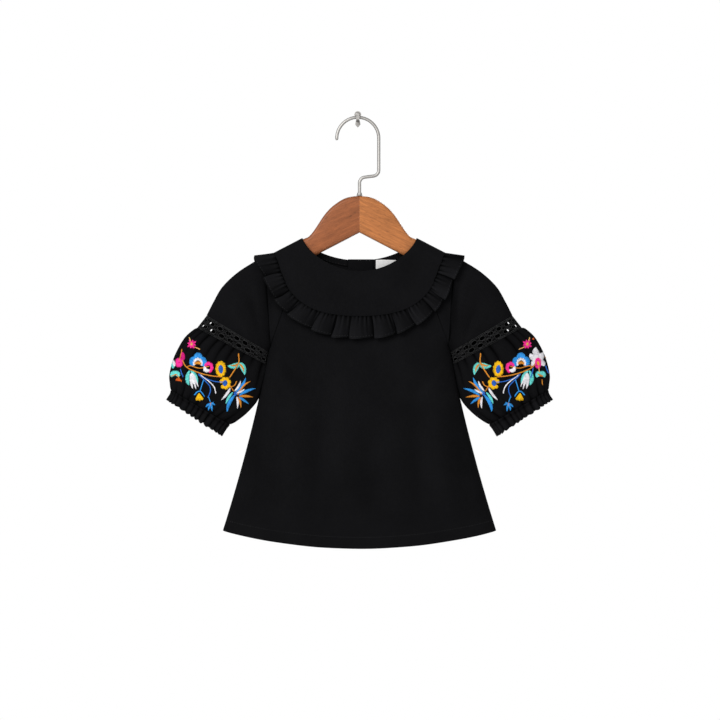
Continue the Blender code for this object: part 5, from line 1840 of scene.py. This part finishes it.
class RUFFLETOP_hanger(bpy.types.PropertyGroup):
    """Colours of the hanger."""
    wood_left: FloatVectorProperty(
        name="Left wood", description="Colour of the left half of the hanger",
        subtype="COLOR", default=(0.292, 0.09, 0.029), min=0.0, max=1.0)
    wood_right: FloatVectorProperty(
        name="Right wood", description="Colour of the right half of the hanger",
        subtype="COLOR", default=(0.45, 0.157, 0.044), min=0.0, max=1.0)
    steel_colour: FloatVectorProperty(
        name="Nickel colour", description="Colour of the plated wire and wall hook",
        subtype="COLOR", default=(0.52, 0.503, 0.48), min=0.0, max=1.0)


class RUFFLETOP_stage(bpy.types.PropertyGroup):
    """Light and camera."""
    backdrop: FloatProperty(
        name="Backdrop", description="Brightness of the white surroundings",
        default=1.0, min=0.0, max=10.0)
    ambient: FloatProperty(
        name="Ambient light", description="Light that comes from all round",
        default=0.46, min=0.0, max=10.0)
    key_power: FloatProperty(
        name="Key light", description="Power of the large soft light", default=58.0,
        min=0.0, max=1000.0, unit="POWER")
    fill_power: FloatProperty(
        name="Fill light", description="Power of the light on the other side",
        default=12.0, min=0.0, max=1000.0, unit="POWER")
    camera_distance: FloatProperty(
        name="Camera distance", description="Distance of the camera from the cloth",
        default=4.0, min=0.5, max=20.0, unit="LENGTH")
    back_power: FloatProperty(
        name="Back light", description="Power of the light behind the top",
        default=45.0, min=0.0, max=1000.0, unit="POWER")


# Operators

class RUFFLETOP_OT_body(bpy.types.Operator):
    """Front and back of the body, and the narrow panels beside the front"""
    bl_idname = "ruffletop.body"
    bl_label = "Body"

    def execute(self, context):
        look = look_named("body_weave")
        self.front(look)
        self.back(look)
        for side, name in SIDES:
            self.side_front(side, name, look)
        return {"FINISHED"}

    def front(self, look):
        """The front below the yoke, cut square where the narrow panels join it."""
        sheet = Sheet()
        rows = cloth_rows(sheet, body_patch(SEAM_GAP / 2), -1, BODY_CREASES)
        stops = len(SECOND_SEAM_STOPS)
        square_to_second_seam(sheet, rows[0][1:stops], -1)
        square_to_second_seam(sheet, rows[0][-stops:-1], 1)
        sheet.grid(rows)
        front = place_piece(sheet.wall("body_front_cloth", CLOTH, look), "body_cloth",
                            "front_body")

    def back(self, look):
        """The back in one piece, which also holds what lies behind the narrow panels."""
        sheet = Sheet()
        body = body_patch(0.0)
        panel = side_patch(0.0, True)
        for index, new in enumerate(nudged(SEAM_POINTS, YOKE_CENTRE, SEAM_GAP / 2)):
            if index <= JUNCTION:
                start = Point(new.x, shoulder_z(new.x)) if index == 0 else new
                end = panel[index][-1]
                panel[index] = [blend(start, end, step / SIDE_COLUMNS)
                                for step in range(SIDE_COLUMNS + 1)]
            if index >= JUNCTION:
                place = index - JUNCTION + len(SECOND_SEAM_STOPS)
                body[0][place] = Point(-new.x, new.z)
                body[0][-1 - place] = new
        creases = [crease._replace(x=-crease.x, end_x=-crease.end_x) for crease in BODY_CREASES]
        sheet.grid(cloth_rows(sheet, body, 1, creases))
        sheet.grid(cloth_rows(sheet, panel, 1))
        left = [[Point(-x, z) for x, z in reversed(row)] for row in panel]
        sheet.grid(cloth_rows(sheet, left, 1))
        back = place_piece(sheet.wall("body_back_cloth", CLOTH, look), "body_cloth",
                           "back_body")

    def side_front(self, side, name, look):
        """The narrow panel between yoke, body and armhole."""
        sheet = Sheet()
        rows = [[Point(side * x, z) for x, z in row] for row in side_patch(SEAM_GAP / 2, False)]
        creases = [crease._replace(x=side * crease.x, end_x=side * crease.end_x)
                   for crease in SIDE_CREASES]
        indices = cloth_rows(sheet, rows, -1, creases)
        square_to_second_seam(sheet, [row[0] for row in indices[JUNCTION + 1:]], side)
        sheet.grid(indices)
        piece = place_piece(sheet.wall("side_front_cloth_" + name, CLOTH, look),
                            "body_cloth", "side_front_" + name)


class RUFFLETOP_OT_yoke(bpy.types.Operator):
    """Round yoke, the strip of its back closing and the bound neckline"""
    bl_idname = "ruffletop.yoke"
    bl_label = "Yoke"

    def execute(self, context):
        look = look_named("yoke_weave")
        sheet = Sheet()
        rows = [mirrored(row) for row in yoke_rows(FRONT_NECK_DEPTH, -SEAM_GAP / 2)]
        sheet.grid(cloth_rows(sheet, rows, -1, YOKE_CREASES))
        front = place_piece(sheet.wall("yoke_front_cloth", CLOTH, look), "yoke_cloth",
                            "front_yoke")
        for side, name in SIDES:
            sheet = Sheet()
            rows = yoke_rows(BACK_NECK_DEPTH, -SEAM_GAP / 2)
            rows = [[Point(side * max(x, SEAM_GAP / 2), z) for x, z in row] for row in rows]
            sheet.grid(cloth_rows(sheet, rows, 1, YOKE_CREASES))
            piece = place_piece(sheet.wall("yoke_back_cloth_" + name, CLOTH, look),
                                "yoke_cloth", "back_yoke_" + name)
        xs = spread(PLACKET_LEFT, PLACKET_RIGHT, 12)
        tops = [neck_z(0.0, BACK_NECK_DEPTH) + PLACKET_RISE for _ in xs]
        foot = YOKE_SEAM[-1].z + CLOTH
        placket = strip("placket_cloth", xs, tops, [foot for _ in xs], LAYER, CLOTH, look, 24)
        place_piece(placket, "yoke_cloth", "back_placket")
        for side, edge, name in ((-1, -PLACKET_LEFT, "left"), (1, PLACKET_RIGHT, "right")):
            xs = [side * x for x in spread(edge + SEAM_GAP, BINDING_END, 16)]
            tops = [neck_z(x, BACK_NECK_DEPTH) - SEAM_GAP for x in xs]
            lows = [top - BINDING_WIDTH for top in tops]
            piece = strip("neck_binding_" + name, xs, tops, lows, LAYER, CLOTH, look)
            place_piece(piece, "yoke_cloth", "back_neck_binding_" + name)
        return {"FINISHED"}


class RUFFLETOP_OT_closing(bpy.types.Operator):
    """Blank label inside the neck, and the buttons of the back closing"""
    bl_idname = "ruffletop.closing"
    bl_label = "Label and Buttons"

    def execute(self, context):
        xs = spread(LABEL_LEFT, LABEL_RIGHT, 14)
        lift = LAYER + CLOTH / 2 + SEAM_GAP + LABEL_CLOTH / 2
        tops = [LABEL_TOP + 0.25 * sin((x - LABEL_LEFT) / 5) for x in xs]
        label = strip("label_tape", xs, tops, [top - LABEL_HEIGHT for top in tops], lift,
                      LABEL_CLOTH, look_named("white_tape"), 10)
        place_piece(label, "label_tape", "neck_label")
        for number, z in enumerate(BUTTON_HEIGHTS):
            self.button(number + 1, z)
        return {"FINISHED"}

    def button(self, number, z):
        """A button held by two crossed stitches."""
        depth = cloth_depth(BUTTON_X, z) + CLOTH / 2 + SEAM_GAP * 1.5
        lean = (cloth_depth(BUTTON_X, z - 5) - cloth_depth(BUTTON_X, z + 5)) / 10
        count = BUTTON_CORNERS
        corners, faces = [], []
        for radius, out in BUTTON_PROFILE:
            for step in range(count):
                turn = 2 * pi * step / count
                rise = radius * sin(turn)
                corners.append((BUTTON_X + radius * cos(turn),
                                HANG_Y + depth + out - rise * lean, z + rise))
        for ring, step, after in ring_steps(len(BUTTON_PROFILE), count):
            faces.append([ring * count + after, ring * count + step,
                          (ring + 1) * count + step, (ring + 1) * count + after])
        name = "button_%d" % number
        piece = made_mesh(name, corners, faces, look_named("button_shell"), sharp=50)
        weld(piece)
        place_piece(piece, "button", "back_button_%d" % number)
        lines = []
        for way in (1, -1):
            line = []
            for step in range(9):
                t = step / 8
                x = -BUTTON_STITCH + 2 * BUTTON_STITCH * t
                rise = way * x
                out = 1.45 + 0.75 * sin(pi * t) ** 0.5
                line.append(Vector((BUTTON_X + x, HANG_Y + depth + out - rise * lean,
                                    z + rise)))
            lines.append(line)
        thread = threads(name + "_thread", lines, BUTTON_THREAD_RADIUS, 6, "seam_thread",
                         sizes=[[1.0] * 9] * 2)
        place_piece(thread, "button")


class RUFFLETOP_OT_ruffle(bpy.types.Operator):
    """Pleated ruffle round the yoke"""
    bl_idname = "ruffletop.ruffle"
    bl_label = "Ruffle"

    def execute(self, context):
        for face, name in FACES:
            piece = ruffle(face, "ruffle_cloth_" + name, look_named("ruffle_weave"))
            place_piece(piece, "ruffle_cloth", "ruffle_" + name)
        return {"FINISHED"}


class RUFFLETOP_OT_sleeves(bpy.types.Operator):
    """Plain upper part of each sleeve"""
    bl_idname = "ruffletop.sleeves"
    bl_label = "Upper Sleeves"

    def execute(self, context):
        for side, name in SIDES:
            piece = upper_sleeve(side, "sleeve_cloth_" + name, look_named("sleeve_weave"))
            place_piece(piece, "sleeve_cloth", "upper_sleeve_" + name)
        return {"FINISHED"}


class RUFFLETOP_OT_lace(bpy.types.Operator):
    """Lace band of each sleeve, with cord round its holes"""
    bl_idname = "ruffletop.lace"
    bl_label = "Lace"

    def execute(self, context):
        for side, name in SIDES:
            for face, half in FACES:
                cord = lace_threads(side, face, "lace_cord_%s_%s" % (half, name))
                place_piece(cord, "lace")
                piece = lace(side, face, "lace_ground_%s_%s" % (half, name),
                             look_named("lace_ground"))
                place_piece(piece, "lace", "lace_%s_%s" % (half, name))
        return {"FINISHED"}


class RUFFLETOP_OT_puffs(bpy.types.Operator):
    """Gathered puff and frilled cuff of each sleeve"""
    bl_idname = "ruffletop.puffs"
    bl_label = "Puffs and Cuffs"

    def execute(self, context):
        for side, name in SIDES:
            piece = puff(side, "puff_cloth_" + name, look_named("puff_weave"))
            place_piece(piece, "sleeve_cloth", "puff_" + name)
            silk = embroidery(side, "embroidery_" + name, surface_of(piece))
            place_piece(silk, "sleeve_cloth")
            piece = cuff(side, "cuff_cloth_" + name, look_named("puff_weave"))
            place_piece(piece, "sleeve_cloth", "cuff_" + name)
        return {"FINISHED"}


class RUFFLETOP_OT_sewing(bpy.types.Operator):
    """Sewn rows on hem, ruffle, neck binding and label"""
    bl_idname = "ruffletop.sewing"
    bl_label = "Sewing"

    def execute(self, context):
        cloth = context.scene.ruffle_top_cloth
        settings = {"Stitch Length": cloth.stitch_length, "Stitch Gap": cloth.stitch_gap,
                    "Thread Radius": HEM_THREAD_RADIUS * MM, "Material": look_named("sewing_thread")}
        height = cloth.hem_height / MM
        for face, name in FACES:
            body = surface_of(bpy.data.objects["body_%s_cloth" % name])
            wide = side_x(HEM_CORNER.z + height) - 2.0
            line = []
            for step in range(HEM_STEPS + 1):
                x = wide * (2 * step / HEM_STEPS - 1)
                line.append((x, hem_z(x) + height))
            stitch_row("hem_stitches_" + name, body, [line], face, HEM_STITCH_LIFT, settings, "body_cloth")
            self.frill_row(face, name, settings)
        label = surface_of(bpy.data.objects["label_tape"])
        ends = [[(x, LABEL_TOP - LABEL_SEAM_END
                  - (LABEL_HEIGHT - 2 * LABEL_SEAM_END) * step / 12)
                 for step in range(13)]
                for x in (LABEL_LEFT + LABEL_SEAM, LABEL_RIGHT - LABEL_SEAM)]
        stitch_row("label_stitches", label, ends, -1, SMALL_STITCH_LIFT,
                   {**settings, "Material": look_named("white_tape")}, "label_tape")
        bands = surface_of(bpy.data.objects["neck_binding_left"],
                           bpy.data.objects["neck_binding_right"])
        rows = []
        for side in (-1, 1):
            for drop in (BINDING_SEAM, BINDING_WIDTH - BINDING_SEAM):
                xs = spread(-PLACKET_LEFT + 4, BINDING_END - 2, 20)
                rows.append([(side * x, neck_z(x, BACK_NECK_DEPTH) - drop) for x in xs])
        stitch_row("binding_stitches", bands, rows, -1, SMALL_STITCH_LIFT, settings,
                   "yoke_cloth")
        return {"FINISHED"}

    def frill_row(self, face, name, settings):
        """Stitches inside the free edge of the ruffle, pleat by pleat."""
        laid, ups = [], []
        columns = pleat_columns()
        for start, end in zip(RUFFLE_FOLDS, RUFFLE_FOLDS[1:]):
            line = []
            for place, height, tuck, sway in columns:
                if start + 0.3 < place < end - 0.6 and abs(place) < ruffle_length - 2.5:
                    spot, _ = ruffle_point(place, height, tuck, FRILL_STITCH_SHARE, face, sway)
                    line.append(Vector(spot) + Vector((0, face * FRILL_STITCH_LIFT, 0)))
            laid.append(line)
            ups.append([(0, face, 0)] * len(line))
        settings = {**settings, "Thread Radius": FRILL_THREAD_RADIUS * MM}
        mesh = lines_mesh("ruffle_stitches_" + name, laid, ups=ups)
        piece = grown("ruffle_stitches_" + name, mesh, tree_named("stitch_row"), settings)
        place_piece(piece, "ruffle_cloth")


class RUFFLETOP_OT_hanger(bpy.types.Operator):
    """Wooden hanger with its bent wire hook"""
    bl_idname = "ruffletop.hanger"
    bl_label = "Hanger"

    def execute(self, context):
        for side, name in SIDES:
            self.arm(side, name)
        self.hook()
        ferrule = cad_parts["hook_ferrule"]
        dress_node(ferrule, "nickel_wire")
        return {"FINISHED"}

    def arm(self, side, name):
        """One half of the hanger, as a loft of rounded sections."""
        sections = between(WOOD_SECTIONS,
                           lambda start, end: max(2, int((end.x - start.x)
                                                         / WOOD_STEP)))
        corners, faces = [], []
        quarter = WOOD_CORNER_STEPS
        for section in sections:
            tall = section.top - section.low
            radius = min(WOOD_CORNER, tall / 2 - 0.2)
            x = max(section.x, MITRE_GAP / 2)
            for way_y, way_z, start in ((1, section.top - radius, 0),
                                        (-1, section.top - radius, 90),
                                        (-1, section.low + radius, 180),
                                        (1, section.low + radius, 270)):
                for step in range(quarter + 1):
                    turn = radians(start + 90 * step / quarter)
                    corners.append((side * x,
                                    HANG_Y + way_y * (WOOD_HALF_THICK - radius)
                                    + radius * cos(turn),
                                    way_z + radius * sin(turn)))
        count = 4 * (quarter + 1)
        for ring, step, after in ring_steps(len(sections), count):
            face = [ring * count + step, ring * count + after,
                    (ring + 1) * count + after, (ring + 1) * count + step]
            faces.append(face if side > 0 else face[::-1])
        first = list(range(count))
        last = list(range((len(sections) - 1) * count, len(sections) * count))
        faces.append(first[::-1] if side > 0 else first)
        faces.append(last if side > 0 else last[::-1])
        piece = made_mesh("wood_" + name, corners, faces, look_named("oiled_" + name), sharp=50)
        place_piece(piece, "wood_" + name, "hanger_wood_" + name)

    def hook(self):
        """The wire, swept along its bends."""
        def arc(centre_x, centre_z, radius, start, end, steps):
            turns = [radians(start + (end - start) * step / steps) for step in range(steps + 1)]
            return [(centre_x + radius * cos(turn),
                     centre_z + radius * sin(turn)) for turn in turns]

        foot_z = WOOD_SECTIONS[0].top + SEAM_GAP
        points = arc(0, HOOK_CENTRE_Z, HOOK_RADIUS, 185, 0, 64)
        points += arc(HOOK_SHANK_X - HOOK_BEND, HOOK_SHELF_Z + HOOK_BEND, HOOK_BEND, 0, -80, 14)
        points += arc(GARMENT_X + HOOK_BEND, HOOK_SHELF_Z - 1.2 - HOOK_BEND, HOOK_BEND,
                      100, 180, 14)
        points.append((GARMENT_X, foot_z))
        line = [Vector((x - GARMENT_X, HANG_Y, z)) for x, z in points]
        sizes = [[0.55, 0.9] + [1.0] * (len(line) - 2)]
        piece = threads("hook_wire", [line], WIRE_RADIUS, 20, "nickel_wire", sizes=sizes)
        place_piece(piece, "hanger_steel", "hanger_hook")


class RUFFLETOP_OT_wall_hook(bpy.types.Operator):
    """Small wall hook with its screw"""
    bl_idname = "ruffletop.wall_hook"
    bl_label = "Wall Hook"

    def execute(self, context):
        for name in ("wall_hook", "wall_screw"):
            dress_node(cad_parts[name], "wall_hook_steel")
        return {"FINISHED"}


class RUFFLETOP_OT_stage(bpy.types.Operator):
    """Pale floor, soft lights and camera"""
    bl_idname = "ruffletop.stage"
    bl_label = "Stage"

    def execute(self, context):
        stage = context.scene.ruffle_top_stage
        corners = [(x * FLOOR_HALF_SIZE, y * FLOOR_HALF_SIZE, FLOOR_Z)
                   for x, y in ((-1, -1), (1, -1), (1, 1), (-1, 1))]
        mesh = bpy.data.meshes.new("floor")
        mesh.from_pydata(corners, [], [[0, 1, 2, 3]])
        mesh.materials.append(look_named("pale_floor"))
        floor = bpy.data.objects.new("floor", mesh)
        context.scene.collection.objects.link(floor)
        self.surroundings(context, stage)
        for name, place, power, wide in (
                ("key_light", (-1.5, -2.1, 0.9), stage.key_power, 1.5),
                ("fill_light", (1.9, -1.8, 0.1), stage.fill_power, 1.6),
                ("back_light", (0.6, 2.4, 1.0), stage.back_power, 1.6)):
            light = bpy.data.lights.new(name, "AREA")
            light.energy = power
            light.size = wide
            lamp = bpy.data.objects.new(name, light)
            lamp.location = place
            aim = Vector(LIGHT_AIM) - Vector(place)
            lamp.rotation_euler = aim.to_track_quat("-Z", "Y").to_euler()
            context.scene.collection.objects.link(lamp)
        view = bpy.data.cameras.new("camera")
        view.sensor_width = 36.0
        view.lens = (view.sensor_width * (stage.camera_distance - PICTURE_DEPTH)
                     / PICTURE_WIDTH)
        camera = bpy.data.objects.new("camera", view)
        camera.location = (PICTURE_X, -stage.camera_distance, PICTURE_Z)
        camera.rotation_euler = (radians(90), 0, 0)
        context.scene.collection.objects.link(camera)
        context.scene.camera = camera
        context.scene.view_settings.view_transform = "Standard"
        return {"FINISHED"}

    def surroundings(self, context, stage):
        """White surroundings that light the top more softly than they look."""
        world = bpy.data.worlds.new("surroundings")
        world.use_nodes = True
        graph = Graph(world.node_tree)
        plain = world.node_tree.nodes["Background"]
        plain.inputs["Color"].default_value = (1, 1, 1, 1)
        ray = graph.add("ShaderNodeLightPath").out("Is Camera Ray")
        strength = ray * (stage.backdrop - stage.ambient) + stage.ambient
        world.node_tree.links.new(strength.socket, plain.inputs["Strength"])
        context.scene.world = world


def ring_steps(rings, count):
    """Each step round each ring but the last, with the step after it."""
    for ring in range(rings - 1):
        for step in range(count):
            yield ring, step, (step + 1) % count


def weld(piece):
    """Join the corners that lie on each other."""
    work = bmesh.new()
    work.from_mesh(piece.data)
    bmesh.ops.remove_doubles(work, verts=work.verts, dist=1e-7)
    bmesh.ops.recalc_face_normals(work, faces=work.faces)
    work.to_mesh(piece.data)
    work.free()


def dress_node(node, look):
    """Give a frame node a material and leave its shape."""
    if not node.data.materials:
        node.data.materials.append(None)
    for slot in node.material_slots:
        slot.material = look_named(look)


OPERATORS = (RUFFLETOP_OT_body, RUFFLETOP_OT_yoke, RUFFLETOP_OT_closing,
             RUFFLETOP_OT_ruffle, RUFFLETOP_OT_sleeves, RUFFLETOP_OT_lace,
             RUFFLETOP_OT_puffs, RUFFLETOP_OT_sewing, RUFFLETOP_OT_hanger,
             RUFFLETOP_OT_wall_hook, RUFFLETOP_OT_stage)


class RUFFLETOP_PT_panel(bpy.types.Panel):
    """Buttons and settings of the ruffle top"""
    bl_idname = "RUFFLETOP_PT_panel"
    bl_label = "Ruffle Top"
    bl_space_type = "VIEW_3D"
    bl_region_type = "UI"
    bl_category = "Ruffle Top"

    def draw(self, context):
        for group in (context.scene.ruffle_top_cloth, context.scene.ruffle_top_hanger,
                      context.scene.ruffle_top_stage):
            box = self.layout.box()
            for key in group.bl_rna.properties.keys():
                if key not in ("rna_type", "name"):
                    box.prop(group, key)
        for operator in OPERATORS:
            self.layout.operator(operator.bl_idname)


GROUPS = (("ruffle_top_cloth", RUFFLETOP_cloth), ("ruffle_top_hanger", RUFFLETOP_hanger),
          ("ruffle_top_stage", RUFFLETOP_stage))


def register():
    """Add the settings, operators and panel."""
    for key, group in GROUPS:
        bpy.utils.register_class(group)
        setattr(bpy.types.Scene, key, PointerProperty(type=group))
    for operator in OPERATORS:
        bpy.utils.register_class(operator)
    bpy.utils.register_class(RUFFLETOP_PT_panel)


def unregister():
    """Take them out again, the last first."""
    bpy.utils.unregister_class(RUFFLETOP_PT_panel)
    for operator in reversed(OPERATORS):
        bpy.utils.unregister_class(operator)
    for key, group in reversed(GROUPS):
        delattr(bpy.types.Scene, key)
        bpy.utils.unregister_class(group)


def main():
    """Make every piece in order."""
    register()
    bpy.ops.ruffletop.body()
    bpy.ops.ruffletop.yoke()
    bpy.ops.ruffletop.closing()
    bpy.ops.ruffletop.ruffle()
    bpy.ops.ruffletop.sleeves()
    bpy.ops.ruffletop.lace()
    bpy.ops.ruffletop.puffs()
    bpy.ops.ruffletop.sewing()
    bpy.ops.ruffletop.hanger()
    bpy.ops.ruffletop.wall_hook()
    bpy.ops.ruffletop.stage()


if __name__ == "__main__":
    main()
